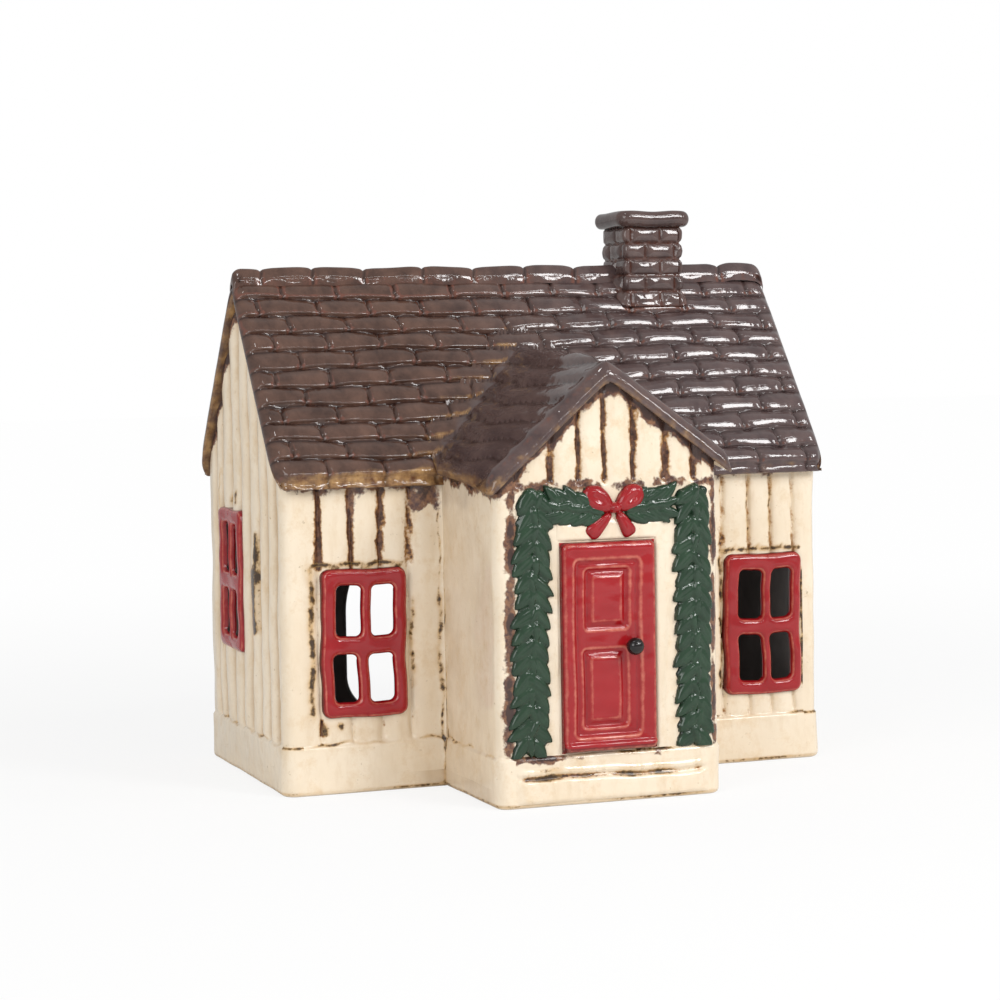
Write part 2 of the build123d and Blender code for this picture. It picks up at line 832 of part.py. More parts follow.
# Doorstep
def door_step():
    """Two shallow treads set in the plinth, parted by a sunk joint."""
    face = porch_y - plinth_projection
    back = face + step_recess
    lower = block(step_left_x, step_right_x, face, back, foot_chamfer,
                  step_split_height - step_joint)
    core = block(step_left_x, step_right_x, back - step_recess / 2, back,
                 foot_chamfer, plinth_height)
    upper = block(step_left_x, step_right_x, face + step_tread_back, back,
                  step_split_height, plinth_height)
    lower = fillet(lower.edges().filter_by(Axis.X).group_by(Axis.Y)[0],
                   step_edge_round)
    upper = fillet(upper.edges().filter_by(Axis.X).group_by(Axis.Y)[0],
                   step_edge_round)
    return lower + core + upper


# Tealight
tealight_y = front_y + tealight_from_front


def turned(points):
    """A turned piece from (radius, height) points above the floor."""
    face = make_face(Polyline(*[(r, 0, z) for r, z in points], close=True))
    return Pos(0, tealight_y, base_thickness) * revolve(face, Axis.Z)


def tealight_cup():
    """The thin drawn cup, whose rim stands out in a small bead."""
    inside = cup_radius - cup_wall
    points = [(0, 0), (cup_radius, 0), (cup_radius, cup_height - 2 * cup_bead)]
    points += [(cup_radius + cup_bead, cup_height - cup_bead)]
    points += [(cup_radius, cup_height), (inside, cup_height)]
    points += [(inside, cup_wall), (0, cup_wall)]
    return turned(points)


def tealight_wax():
    """The wax, a little dished, cast round the sustainer and the wick."""
    low = cup_wall
    radius = cup_radius - cup_wall - wax_gap
    top = low + wax_height
    plate = sustainer_radius + wax_gap
    collar = sustainer_collar_radius + wax_gap
    plate_top = low + sustainer_thickness + wax_gap
    collar_top = low + sustainer_collar_height + wax_gap
    bore = wick_radius + wax_gap
    points = [(plate, low), (radius, low), (radius, top)]
    points += [(bore, top - wax_dish), (bore, collar_top), (collar, collar_top)]
    points += [(collar, plate_top), (plate, plate_top)]
    return turned(points)


def wick_sustainer():
    """The small plate with a collar that holds the wick upright."""
    low = cup_wall
    bore = wick_radius
    points = [(0, low), (sustainer_radius, low)]
    points += [(sustainer_radius, low + sustainer_thickness)]
    points += [(sustainer_collar_radius, low + sustainer_thickness)]
    points += [(sustainer_collar_radius, low + sustainer_collar_height)]
    points += [(bore + wax_gap, low + sustainer_collar_height)]
    points += [(bore + wax_gap, low + sustainer_thickness)]
    points += [(0, low + sustainer_thickness)]
    return turned(points)


def tealight_wick():
    """The wick, from the sustainer to above the wax."""
    low = cup_wall + sustainer_thickness
    top = cup_wall + wax_height - wax_dish + wick_above_wax
    return turned([(0, low), (wick_radius, low), (wick_radius, top), (0, top)])


def write(shape, node):
    export_step(shape, f"parts/{node}.step")


def main():
    os.makedirs("parts", exist_ok=True)
    write(base_slab(), "base_slab")
    write(gable_wall(-1), "left_gable_wall")
    write(gable_wall(1), "right_gable_wall")
    write(front_left_wall(), "front_left_wall")
    write(front_right_wall(), "front_right_wall")
    write(rear_wall(), "rear_wall")
    write(porch_side_wall(-1), "porch_left_wall")
    write(porch_side_wall(1), "porch_right_wall")
    write(porch_front_wall(), "porch_front_wall")
    write(front_roof_slope(), "front_roof_slope")
    write(rear_roof_slope(), "rear_roof_slope")
    write(ridge_tiles(), "ridge_tiles")
    write(porch_roof_slope(-1), "porch_roof_left")
    write(porch_roof_slope(1), "porch_roof_right")
    write(chimney_stack(), "chimney_stack")
    write(chimney_cap(), "chimney_cap")
    grille = window_grille()
    left_place = front_window_place(front_left_window_x, front_left_window_z)
    right_place = front_window_place(front_right_window_x, front_right_window_z)
    write(left_place * grille, "front_left_window")
    write(right_place * grille, "front_right_window")
    write(gable_window_place() * grille, "gable_window")
    write(door_surround(), "door_surround")
    write(door_leaf(), "door_leaf")
    write(door_knob(), "door_knob")
    write(garland(garland_left_outer_x, garland_left_inner_x, garland_bottom,
                  garland_top, garland_tuft_count), "garland_left")
    write(garland(garland_right_inner_x, garland_right_outer_x, garland_bottom,
                  garland_top, garland_tuft_count), "garland_right")
    bow_clear = bow_field_half + piece_gap
    write(garland_swag(garland_left_inner_x + piece_gap, bow_x - bow_clear),
          "garland_left_swag")
    write(garland_swag(garland_right_inner_x - piece_gap, bow_x + bow_clear),
          "garland_right_swag")
    write(bow(), "bow")
    write(door_step(), "door_step")
    write(tealight_cup(), "tealight_cup")
    write(tealight_wax(), "tealight_wax")
    write(wick_sustainer(), "wick_sustainer")
    write(tealight_wick(), "tealight_wick")


main()
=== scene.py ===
"""Ceramic tealight house with a porch, a chimney and a tealight inside.

Every visible face is a glazed clay surface worked out with numpy in
millimetres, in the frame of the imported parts, and laid over its own part.
"""
from math import atan2, cos, hypot, pi, radians, sin, tan

import bpy
import numpy as np
from mathutils import Matrix

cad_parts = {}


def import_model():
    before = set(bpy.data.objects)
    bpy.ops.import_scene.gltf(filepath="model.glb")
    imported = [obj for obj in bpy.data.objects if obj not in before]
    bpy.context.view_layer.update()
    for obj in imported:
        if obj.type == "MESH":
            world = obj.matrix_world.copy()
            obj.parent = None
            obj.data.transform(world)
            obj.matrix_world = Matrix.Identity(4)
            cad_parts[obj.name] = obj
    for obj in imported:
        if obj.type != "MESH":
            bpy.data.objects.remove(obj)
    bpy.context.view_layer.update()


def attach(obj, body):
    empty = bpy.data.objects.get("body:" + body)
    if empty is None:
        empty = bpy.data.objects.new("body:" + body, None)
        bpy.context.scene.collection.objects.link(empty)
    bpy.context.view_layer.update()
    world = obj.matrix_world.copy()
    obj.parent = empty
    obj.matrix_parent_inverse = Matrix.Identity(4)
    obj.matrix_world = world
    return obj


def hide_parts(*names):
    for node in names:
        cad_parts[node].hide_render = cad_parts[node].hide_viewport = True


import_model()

mm = 0.001

# Planes of the walls in mm: x to the right, y to the back, z up
front_y = -17.6
rear_y = 57.4
ridge_y = 19.9
porch_y = -57.4
side_x = 75.0
wall = 4.5
inner_x = side_x - wall
corner = 3.0
porch_left = -32.3
porch_right = 27.2
floor_top = 4.5
plinth_top = 12.5
plinth_proud = 0.6
roof_lap = 0.6
porch_lap = 0.9
far_joint = np.array([500.0])  # off every wall: boards without joints

# Heights up to which the rows of a wall run level
wall_level = 77.0
porch_side_level = 74.0
porch_front_level = 76.5

# Openings through the walls, each from, to, sill and head
left_hole = (-64.0, -43.8, 21.0, 56.2)
right_hole = (48.4, 68.4, 19.8, 54.8)
gable_hole = (21.0, 40.8, 34.2, 69.2)
rear_opening = (-36.8, 36.8, 10.4, 63.2)
rear_radii = (10.0, 10.0, 25.0, 25.0)

# Main roof
roof_thick = 3.4
eave_y = -20.9
eave_z = 81.5
soffit_z = 78.0
apex_z = 134.0
verge_x = 77.2
roof_run = ridge_y - eave_y
roof_pitch = atan2(apex_z - eave_z, roof_run)
slope_length = hypot(roof_run, apex_z - eave_z)
courses = 11
ridge_leg = 3.2
exposure = (slope_length - ridge_leg) / courses  # of each course, up the slope
roof_drop = roof_thick / cos(roof_pitch)
shingle = 15.0  # width of one

# Porch roof
porch_apex_x = -2.55
porch_apex_z = 108.7
porch_climb = 3.7
porch_nose_y = -59.2
porch_back_y = 4.0
porch_eave_x = {-1: -34.6, 1: 30.9}
porch_eave_z = {-1: 80.0, 1: 83.8}
porch_fascia = {-1: 2.4, 1: 2.6}

# Chimney
stack_x = (32.0, 49.4)
stack_y = (11.45, 28.35)
stack_wall = 4.2
stack_foot = 123.3
stack_corner = 1.3
cap_z = (145.0, 149.3)
cap_reach = 2.1

# Reliefs laid on the porch front, and the tealight's axis
relief_step = 0.27
nowhere = -0.8  # height of a relief's grid where nothing stands
tealight_at = (0.0, 14.4, 0.0)


def srgb(code):
    """Linear red, green, blue and alpha of an sRGB hex code."""
    parts = np.array([int(code[k:k + 2], 16) / 255.0 for k in (1, 3, 5)])
    low = parts / 12.92
    high = ((parts + 0.055) / 1.055) ** 2.4
    return (*np.where(parts <= 0.04045, low, high).tolist(), 1.0)


def ramp(low, high, t):
    """0 below low, 1 above high, and 3t^2 - 2t^3 between them."""
    t = np.clip((t - low) / (high - low), 0.0, 1.0)
    return t * t * (3.0 - 2.0 * t)


def nearest(t, marks):
    """Distance from each t to the nearest mark."""
    return np.min(np.abs(np.asarray(t)[..., None] - np.asarray(marks)), axis=-1)


def hump(t, width):
    """A bell 1 high at t = 0: exp(-(t / width)^2)."""
    return np.exp(-(t / width) ** 2)


def quarter_round(d, radius):
    """Drop of a rounded edge at distance d inside it: r - sqrt(r^2 - (r - d)^2)."""
    inside = np.clip(1.0 - d / radius, 0.0, 1.0)
    return radius * (1.0 - np.sqrt(1.0 - inside ** 2))


def wobble(x, y, z):
    """Unevenness of pressed clay in mm: a sum of four sine waves 10 to 60 mm long."""
    long_wave = 0.13 * np.sin(0.095 * x + 0.05 * z + 1.3)
    long_wave = long_wave + 0.11 * np.sin(0.15 * z - 0.08 * y + 0.4)
    short_wave = 0.07 * np.sin(0.29 * x + 0.24 * z + 0.21 * y + 2.1)
    return long_wave + short_wave + 0.05 * np.sin(0.41 * z - 0.33 * x + 0.37 * y)


def rounded_distance(x, z, box, radius):
    """Distance to a rounded rectangle (x0, x1, z0, z1), less than 0 inside it."""
    x0, x1, z0, z1 = box
    qx = np.abs(x - (x0 + x1) / 2) - (x1 - x0) / 2 + radius
    qz = np.abs(z - (z0 + z1) / 2) - (z1 - z0) / 2 + radius
    outside = np.hypot(np.maximum(qx, 0), np.maximum(qz, 0))
    return outside + np.minimum(np.maximum(qx, qz), 0) - radius


def places(start, end, coarse, fine, marks, reach):
    """Places from start to end, fine apart near the marks and coarse elsewhere.

    They are equal steps of the integral of 1 / spacing.
    """
    t = np.linspace(start, end, 4001)
    near = hump(nearest(t, marks), reach) if len(marks) else np.zeros_like(t)
    density = 1.0 / coarse + near * (1.0 / fine - 1.0 / coarse)
    steps = (density[1:] + density[:-1]) / 2 * np.abs(np.diff(t))
    total = np.concatenate([[0.0], np.cumsum(steps)])
    count = max(int(np.ceil(total[-1])), 2)
    return np.interp(np.linspace(0.0, total[-1], count + 1), total, t)


def grid_quads(rows, columns, keep=None, wrap=False):
    """Corner numbers of each cell of a grid; wrap joins the last column to the first."""
    across = np.arange(columns if wrap else columns - 1)
    i, j = np.meshgrid(np.arange(rows - 1), across, indexing="ij")
    k = (j + 1) % columns
    low, high = i * columns, (i + 1) * columns
    quads = np.stack([low + j, low + k, high + k, high + j], axis=-1)
    if keep is not None:
        quads = quads[keep]
    return quads.reshape(-1, 4)


def signed_volume(points, quads, caps):
    """Volume inside the faces, by the triple product of each fan of triangles."""
    a, b, c, d = (points[quads[:, k]] for k in range(4))
    total = np.sum(a * np.cross(b, c)) + np.sum(a * np.cross(c, d))
    for cap in caps:
        ring = points[cap]
        total += np.sum(ring[0] * np.cross(ring[1:-1], ring[2:]))
    return total / 6.0


def make_piece(name, points, quads, body, skins,
               caps=(), marks=None, skin=None, crease=50.0):
    """Put points in mm and faces into a mesh, outward faces out, smooth but for creases.

    Corners that no face uses are dropped. skin gives the number of the material
    of each quad, and marks holds one value for each point under each name. The
    piece stands for the CAD node of its own name.
    """
    points = np.asarray(points, float).reshape(-1, 3)
    caps = [np.asarray(cap) for cap in caps]
    if signed_volume(points, quads, caps) < 0:
        quads = quads[:, ::-1]
        caps = [cap[::-1] for cap in caps]
    every = np.concatenate([quads.ravel(), *caps]) if caps else quads.ravel()
    used, new = np.unique(every, return_inverse=True)
    new = new.ravel()
    faces = new[:quads.size].reshape(-1, 4).tolist()
    at = quads.size
    for cap in caps:
        faces.append(new[at:at + len(cap)].tolist())
        at += len(cap)
    mesh = bpy.data.meshes.new(name)
    mesh.from_pydata((points[used] * mm).tolist(), [], faces)
    for material in skins:
        mesh.materials.append(material)
    if skin is not None:
        numbers = np.zeros(len(faces), np.int32)
        numbers[:len(skin)] = skin
        mesh.polygons.foreach_set("material_index", numbers)
    for key, values in (marks or {}).items():
        layer = mesh.attributes.new(key, "FLOAT", "POINT")
        layer.data.foreach_set("value", np.asarray(values, np.float32).ravel()[used])
    mesh.polygons.foreach_set("use_smooth", np.ones(len(faces), bool))
    mesh.set_sharp_from_angle(angle=radians(crease))
    mesh.update()
    piece = bpy.data.objects.new(name + "_surface", mesh)
    bpy.context.scene.collection.objects.link(piece)
    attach(piece, body)
    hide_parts(name)
    return piece


def closed_shell(name, front, back, quads, skins, marks, back_marks=None,
                 rim_skin=0):
    """A front skin, a back skin the other way round, and a strip along each open edge.

    An edge is open where only one quad of the front skin has it. The back has the
    last of the materials, and the front's marks unless it has its own.
    """
    front = np.asarray(front, float).reshape(-1, 3)
    back = np.asarray(back, float).reshape(-1, 3)
    count = len(front)
    end = np.roll(quads, -1, axis=1)
    ahead = quads.astype(np.int64) * count + end
    behind = end.astype(np.int64) * count + quads
    is_open = ~np.isin(ahead, behind)
    a, b = quads[is_open], end[is_open]
    rim = np.stack([b, a, a + count, b + count], axis=1)
    faces = np.vstack([quads, quads[:, ::-1] + count, rim])
    sizes = (len(quads), len(quads), len(rim))
    skin = np.repeat(np.array([0, len(skins) - 1, rim_skin]), sizes)
    both = {}
    for key, values in marks.items():
        values = np.broadcast_to(np.asarray(values, float).ravel(), (count,))
        other = (back_marks or {}).get(key, values)
        other = np.broadcast_to(np.asarray(other, float).ravel(), (count,))
        both[key] = np.concatenate([values, other])
    return make_piece(name, np.vstack([front, back]), faces, "house", skins,
                      marks=both, skin=skin)


def turned(profile, count, centre, axis):
    """Points of a profile of (radius, height) turned round axis z, or y towards the front."""
    radius, height = np.asarray(profile, float).T
    angle = np.linspace(0.0, 2 * pi, count, endpoint=False)
    across = radius[:, None] * np.cos(angle)
    side = radius[:, None] * np.sin(angle)
    along = np.repeat(height[:, None], count, axis=1)
    if axis == "z":
        points = np.stack([across, side, along], axis=-1)
    else:
        points = np.stack([across, -along, side], axis=-1)
    return points + np.asarray(centre, float)


def turned_piece(name, profile, count, centre, body, skin, axis="z", shape=None):
    """A closed turned piece whose first and last rings are filled by a flat cap."""
    points = turned(profile, count, centre, axis)
    if shape is not None:
        points = shape(points)
    rows = len(profile)
    quads = grid_quads(rows, count, wrap=True)
    first = np.arange(count)[::-1]
    last = np.arange(count) + (rows - 1) * count
    return make_piece(name, points, quads, body, (skin,), caps=(first, last),
                      crease=40.0)


def box_loop(box, radii, count):
    """Points round a rounded rectangle, count on each side, starting low on the left.

    A point q of the sharp rectangle goes to c + r (q - c) / |q - c|, where c is the
    nearest place that lies r inside both sides of its corner.
    """
    x0, x1, z0, z1 = box
    t = np.arange(count) / count
    x = np.concatenate([x0 + (x1 - x0) * t, np.full(count, x1),
                        x1 - (x1 - x0) * t, np.full(count, x0)])
    z = np.concatenate([np.full(count, z0), z0 + (z1 - z0) * t,
                        np.full(count, z1), z1 - (z1 - z0) * t])
    right = x > (x0 + x1) / 2
    upper = z > (z0 + z1) / 2
    low_r, high_r = np.where(right, radii[1], radii[0]), np.where(right, radii[2], radii[3])
    r = np.where(upper, high_r, low_r)
    cx = np.where(right, np.minimum(x, x1 - r), np.maximum(x, x0 + r))
    cz = np.where(upper, np.minimum(z, z1 - r), np.maximum(z, z0 + r))
    length = np.hypot(x - cx, z - cz)
    scale = np.where(length > 1e-9, r / np.maximum(length, 1e-9), 0.0)
    inside = length > 1e-9
    x = np.where(inside, cx + (x - cx) * scale, x)
    z = np.where(inside, cz + (z - cz) * scale, z)
    return np.stack([x, z], axis=-1)


def plinth(z):
    """How far the wall stands out at height z: the plinth's relief below its soft ledge."""
    return plinth_proud * (1.0 - ramp(plinth_top - 0.6, plinth_top + 0.5, z))


def main_roof_z(y):
    """Height of the outer plane of the main roof at depth y."""
    return apex_z - np.abs(y - ridge_y) * tan(roof_pitch)


def climb(y):
    """Rise of the porch ridge behind its nose: c (1 - (1 - t)^3), quick at first."""
    t = np.clip((y - porch_nose_y) / (porch_back_y - porch_nose_y), 0.0, 1.0)
    return porch_climb * (1.0 - (1.0 - t) ** 3)


def porch_pitch(side):
    """Rise over run of one slope of the porch roof."""
    run = abs(porch_eave_x[side] - porch_apex_x)
    return (porch_apex_z - porch_eave_z[side]) / run


def porch_drop(side):
    """Upright thickness of one slope of the porch roof."""
    return roof_thick * hypot(1.0, porch_pitch(side))


def porch_roof_z(side, x, y):
    """Outer height of the porch roof: its pitch times hypot(d, 1.2) - 0.75 below the ridge.

    d is the distance from the ridge in plan, so the ridge is rounded.
    """
    away = np.hypot(x - porch_apex_x, 1.2) - 0.75
    return porch_apex_z + climb(y) - away * porch_pitch(side)


# Materials
def add_node(tree, kind, settings=None, links=None):
    """Add a node; settings fill its inputs or properties and links feed its inputs."""
    node = tree.nodes.new(kind)
    for key, value in (settings or {}).items():
        if isinstance(key, int) or key in node.inputs:
            node.inputs[key].default_value = value
        else:
            setattr(node, key, value)
    for key, output in (links or {}).items():
        tree.links.new(output, node.inputs[key])
    return node


def start_material(name, *marks):
    """An empty node material: its tree, the object's own coordinates and its marks.

    A mark is the value that the piece's own attribute of that name has at each point.
    """
    material = bpy.data.materials.new(name)
    material.use_nodes = True
    tree = material.node_tree
    tree.nodes.clear()
    place = add_node(tree, "ShaderNodeTexCoord").outputs["Object"]
    values = [add_node(tree, "ShaderNodeAttribute", {"attribute_name": key}).outputs["Fac"]
              for key in marks]
    return material, tree, place, *values


def per_mm(size):
    """Scale of a texture on coordinates in metres whose cells are size mm wide."""
    return 1.0 / (size * mm)


def uneven(tree, value, place, size, share, low, high, detail=3.0):
    """value + share x (noise - 0.5), stretched smoothly from 0 at low to 1 at high.

    The noise's cells are size mm wide, so a mark gets a ragged edge of that grain.
    """
    noise = add_node(tree, "ShaderNodeTexNoise",
                     {"Scale": per_mm(size), "Detail": detail, "Roughness": 0.6},
                     {"Vector": place})
    spread = add_node(tree, "ShaderNodeMath",
                      {"operation": "MULTIPLY_ADD", 1: share, 2: -0.5 * share},
                      {0: noise.outputs["Fac"]})
    total = add_node(tree, "ShaderNodeMath", {"operation": "ADD"},
                     {0: value, 1: spread.outputs[0]})
    return add_node(tree, "ShaderNodeMapRange",
                    {"From Min": low, "From Max": high, "interpolation_type": "SMOOTHSTEP"},
                    {"Value": total.outputs[0]}).outputs["Result"]


def patches(tree, place, size, detail, roughness, low, high, most=1.0):
    """Noise in cells size mm wide, stretched from 0 at low to most at high."""
    noise = add_node(tree, "ShaderNodeTexNoise",
                     {"Scale": per_mm(size), "Detail": detail, "Roughness": roughness},
                     {"Vector": place})
    return add_node(tree, "ShaderNodeMapRange",
                    {"From Min": low, "From Max": high, "To Max": most},
                    {"Value": noise.outputs["Fac"]}).outputs["Result"]


def coats(tree, colour, *layers):
    """Lay coats over a colour, each (share, colour), a hex code or the output of a node."""
    for share, coat in layers:
        sides = {6: colour, 7: coat}
        plain = {key: srgb(side) for key, side in sides.items() if isinstance(side, str)}
        fed = {key: side for key, side in sides.items() if not isinstance(side, str)}
        colour = add_node(tree, "ShaderNodeMix", {"data_type": "RGBA", **plain},
                          {0: share, **fed}).outputs[2]
    return colour


def finish_material(tree, colour, settings, place, bumps, links=None):
    """Principled surface with a bump summed from noises of (size in mm, depth in mm)."""
    feeds = {"Base Color": colour, **(links or {})}
    for size, depth in bumps:
        noise = add_node(tree, "ShaderNodeTexNoise",
                         {"Scale": per_mm(size), "Detail": 2.0, "Roughness": 0.5},
                         {"Vector": place})
        under = {"Normal": feeds["Normal"]} if "Normal" in feeds else {}
        bump = add_node(tree, "ShaderNodeBump", {"Strength": 1.0, "Distance": depth * mm},
                        {"Height": noise.outputs["Fac"], **under})
        feeds["Normal"] = bump.outputs["Normal"]
    shader = add_node(tree, "ShaderNodeBsdfPrincipled", settings, feeds)
    add_node(tree, "ShaderNodeOutputMaterial", None, {"Surface": shader.outputs["BSDF"]})


def cream_glaze():
    """Stoneware under a glossy cream glaze, dipped and fired.

    It is warm ivory with faint mottling, darker where it is thick and where shade is
    painted in, and brown glaze from the roof runs into its grooves, dots its seams and
    spills on its edges.
    """
    material, tree, place, shade, pool, stain, spill = start_material(
        "Cream glaze on stoneware", "shade", "pool", "stain", "spill")
    # Sizes in mm: clouds of thick and thin glaze 14, mottle 7, drips 2.6 drawn out
    # downwards, iron specks 1.7, and the ragged edges of the brown runs 1.3 to 2.4
    cloud = add_node(tree, "ShaderNodeTexNoise",
                     {"Scale": per_mm(14.0), "Detail": 5.0, "Roughness": 0.6},
                     {"Vector": place}).outputs["Fac"]
    hang = add_node(tree, "ShaderNodeMapping", {"Scale": (1.0, 1.0, 0.3)},
                    {"Vector": place}).outputs["Vector"]
    mottle = patches(tree, place, 7.0, 6.0, 0.75, 0.5, 0.72, 0.7)
    drips = patches(tree, hang, 2.6, 4.0, 0.6, 0.5, 0.74, 0.28)
    # The shade mark: painted shade, and in one place thicker glaze, ragged in cells 9 mm wide
    painted_shade = uneven(tree, shade, place, 9.0, 0.5, 0.0, 1.0, 5.0)
    straw = uneven(tree, stain, place, 3.2, 0.5, 0.1, 0.8)
    fleck = patches(tree, place, 1.7, 4.0, 0.75, 0.655, 0.74, 0.75)
    halo = uneven(tree, pool, place, 1.3, 0.9, 0.22, 0.55)
    core = uneven(tree, pool, place, 1.3, 1.2, 0.46, 0.7, 5.0)
    rust = uneven(tree, stain, place, 1.4, 1.3, 0.5, 0.8, 4.0)
    dot = uneven(tree, stain, place, 1.4, 1.3, 0.74, 0.95, 4.0)
    film = uneven(tree, spill, place, 2.4, 1.3, 0.34, 0.58, 6.0)
    thick = uneven(tree, spill, place, 2.0, 0.9, 0.72, 0.92, 5.0)
    tint = patches(tree, place, 1.7, 4.0, 0.7, 0.4, 0.62)
    groove = coats(tree, "#6a4530", (tint, "#38241d"))
    run = coats(tree, "#8a6247", (tint, "#513835"))
    colour = coats(tree, "#dfcaab", (cloud, "#f7ecda"), (mottle, "#d9bd95"),
                   (drips, "#cfb38c"), (painted_shade, "#b39570"), (straw, "#cfae80"),
                   (fleck, "#a58a63"), (halo, "#a87a45"), (core, groove), (rust, "#7d6038"),
                   (dot, "#42301f"), (film, run), (thick, "#43302b"))
    finish_material(tree, colour, {"Roughness": 0.17, "IOR": 1.5}, place,
                    ((9.0, 0.3), (2.2, 0.05), (0.9, 0.015)))
    return material


def brown_glaze():
    """Stoneware under a glossy iron brown glaze, poured over the roof and fired.

    It is chocolate brown where thick, cooler and greyer to the right, partly as a painted
    sheen, breaks to red brown along edges and joints, with painted highlights along
    some of them, runs to amber at the eaves and in the valley of the porch, and has
    painted shade under each course and in the joints.
    """
    material, tree, place, cool_and_sheen, edge, amber, deep = start_material(
        "Iron brown glaze on stoneware", "cool_and_sheen", "edge", "amber", "deep")
    # Sizes in mm: clouds 6, amber runs 3.4, their crystals 2.4, worn edges with painted
    # highlights 1.6, all drawn out from front to back, the way the glaze ran down the slope
    lie = add_node(tree, "ShaderNodeMapping", {"Scale": (1.0, 0.4, 1.0)},
                   {"Vector": place}).outputs["Vector"]
    cloud = patches(tree, lie, 6.0, 5.0, 0.65, 0.2, 0.8)
    red_edge_and_highlight = uneven(tree, edge, lie, 1.6, 0.8, 0.36, 0.85, 4.0)
    honey = uneven(tree, amber, lie, 3.4, 1.2, 0.34, 1.0, 5.0)
    grain = patches(tree, lie, 2.4, 5.0, 0.65, 0.34, 0.68)
    warm = coats(tree, "#2c1b16", (cloud, "#6d5043"))
    # cold: a greyer, lighter brown for the right, partly a painted sheen of soft reflections
    cold = coats(tree, "#3c2f31", (cloud, "#6a5855"))
    gold = coats(tree, "#603b24", (grain, "#b28c5c"))
    # deep: painted shade under each course and in the roof's joints, and the chimney's dark
    # joints
    colour = coats(tree, warm, (cool_and_sheen, cold), (red_edge_and_highlight, "#6c4438"), (honey, gold),
                   (deep, "#220e0a"))
    finish_material(tree, colour, {"Roughness": 0.085, "IOR": 1.52}, place,
                    ((6.0, 0.2), (1.6, 0.045), (0.7, 0.015)))
    return material


def red_glaze():
    """Stoneware painted with a glossy red glaze that thins to pink on sharp edges, with pink
    also as painted highlight there, and darkens in hollows as pooled glaze and painted shade.
    """
    material, tree, place, pool, edge = start_material("Red glaze on stoneware",
                                                       "pool", "edge")
    cloud = add_node(tree, "ShaderNodeTexNoise", {"Scale": per_mm(7.0), "Detail": 3.0},
                     {"Vector": place}).outputs["Fac"]
    # Dark red in the hollows is pooled glaze and painted shade, and pink on the edges is thin
    # glaze and painted highlight
    dark = uneven(tree, pool, place, 1.5, 0.4, 0.3, 0.9)
    worn = uneven(tree, edge, place, 2.2, 0.7, 0.4, 1.1)
    colour = coats(tree, "#8c0a12", (cloud, "#a51c22"), (dark, "#5c1417"), (worn, "#d67f69"))
    finish_material(tree, colour, {"Roughness": 0.14, "IOR": 1.5}, place,
                    ((5.0, 0.12), (1.2, 0.02)))
    return material


def green_glaze():
    """Stoneware painted with a glossy dark green glaze, thin and greyish on leaf edges."""
    material, tree, place, pool, edge = start_material("Green glaze on stoneware",
                                                       "pool", "edge")
    cloud = add_node(tree, "ShaderNodeTexNoise", {"Scale": per_mm(3.0), "Detail": 3.0},
                     {"Vector": place}).outputs["Fac"]
    worn = uneven(tree, edge, place, 0.9, 0.8, 0.7, 1.3)
    colour = coats(tree, "#14281a", (cloud, "#2b4731"), (pool, "#15201a"), (worn, "#586350"))
    finish_material(tree, colour, {"Roughness": 0.14, "IOR": 1.5}, place, ((1.6, 0.04),))
    return material


def black_glaze():
    """The knob's thick black gloss glaze, faintly brown in patches 2 mm wide."""
    material, tree, place = start_material("Black gloss glaze on stoneware")
    cloud = add_node(tree, "ShaderNodeTexNoise", {"Scale": per_mm(2.0)},
                     {"Vector": place}).outputs["Fac"]
    colour = coats(tree, "#0b0a0a", (cloud, "#1c1413"))
    finish_material(tree, colour, {"Roughness": 0.08, "IOR": 1.5}, place, ((1.5, 0.02),))
    return material


def inner_glaze():
    """The inside of the shell: thin grey brown glaze, less glossy from one quick rinse."""
    material, tree, place = start_material("Dark liner glaze on stoneware")
    cloud = add_node(tree, "ShaderNodeTexNoise", {"Scale": per_mm(12.0), "Detail": 4.0},
                     {"Vector": place}).outputs["Fac"]
    colour = coats(tree, "#4a4340", (cloud, "#857a76"))
    finish_material(tree, colour, {"Roughness": 0.25, "IOR": 1.5}, place, ((4.0, 0.1),))
    return material


def aluminium():
    """Deep drawn aluminium foil of the cup, bright with fine upright draw lines.

    They are drawn 0.6 mm apart, coarser than the real ones, so that they show.
    """
    material, tree, place = start_material("Drawn aluminium")
    lines = add_node(tree, "ShaderNodeMapping", {"Scale": (1.0, 1.0, 0.06)},
                     {"Vector": place}).outputs["Vector"]
    grain = add_node(tree, "ShaderNodeTexNoise", {"Scale": per_mm(0.6), "Detail": 2.0},
                     {"Vector": lines}).outputs["Fac"]
    rough = add_node(tree, "ShaderNodeMapRange", {"To Min": 0.22, "To Max": 0.42},
                     {"Value": grain}).outputs["Result"]
    colour = coats(tree, "#c9cbcd", (grain, "#e3e4e5"))
    finish_material(tree, colour, {"Metallic": 1.0}, place, ((3.0, 0.03),),
                    {"Roughness": rough})
    return material


def wax():
    """Pressed paraffin wax: soft white, slightly see-through, of grains 1 mm wide."""
    material, tree, place = start_material("Pressed paraffin wax")
    grain = add_node(tree, "ShaderNodeTexNoise", {"Scale": per_mm(1.2), "Detail": 3.0},
                     {"Vector": place}).outputs["Fac"]
    colour = coats(tree, "#ebe6da", (grain, "#f4f1e8"))
    finish_material(tree, colour, {"Roughness": 0.45, "IOR": 1.44,
                                   "Subsurface Weight": 0.3, "Subsurface Scale": 0.003,
                                   "Subsurface Radius": (1.0, 0.9, 0.75)},
                    place, ((1.0, 0.05), (5.0, 0.1)))
    return material


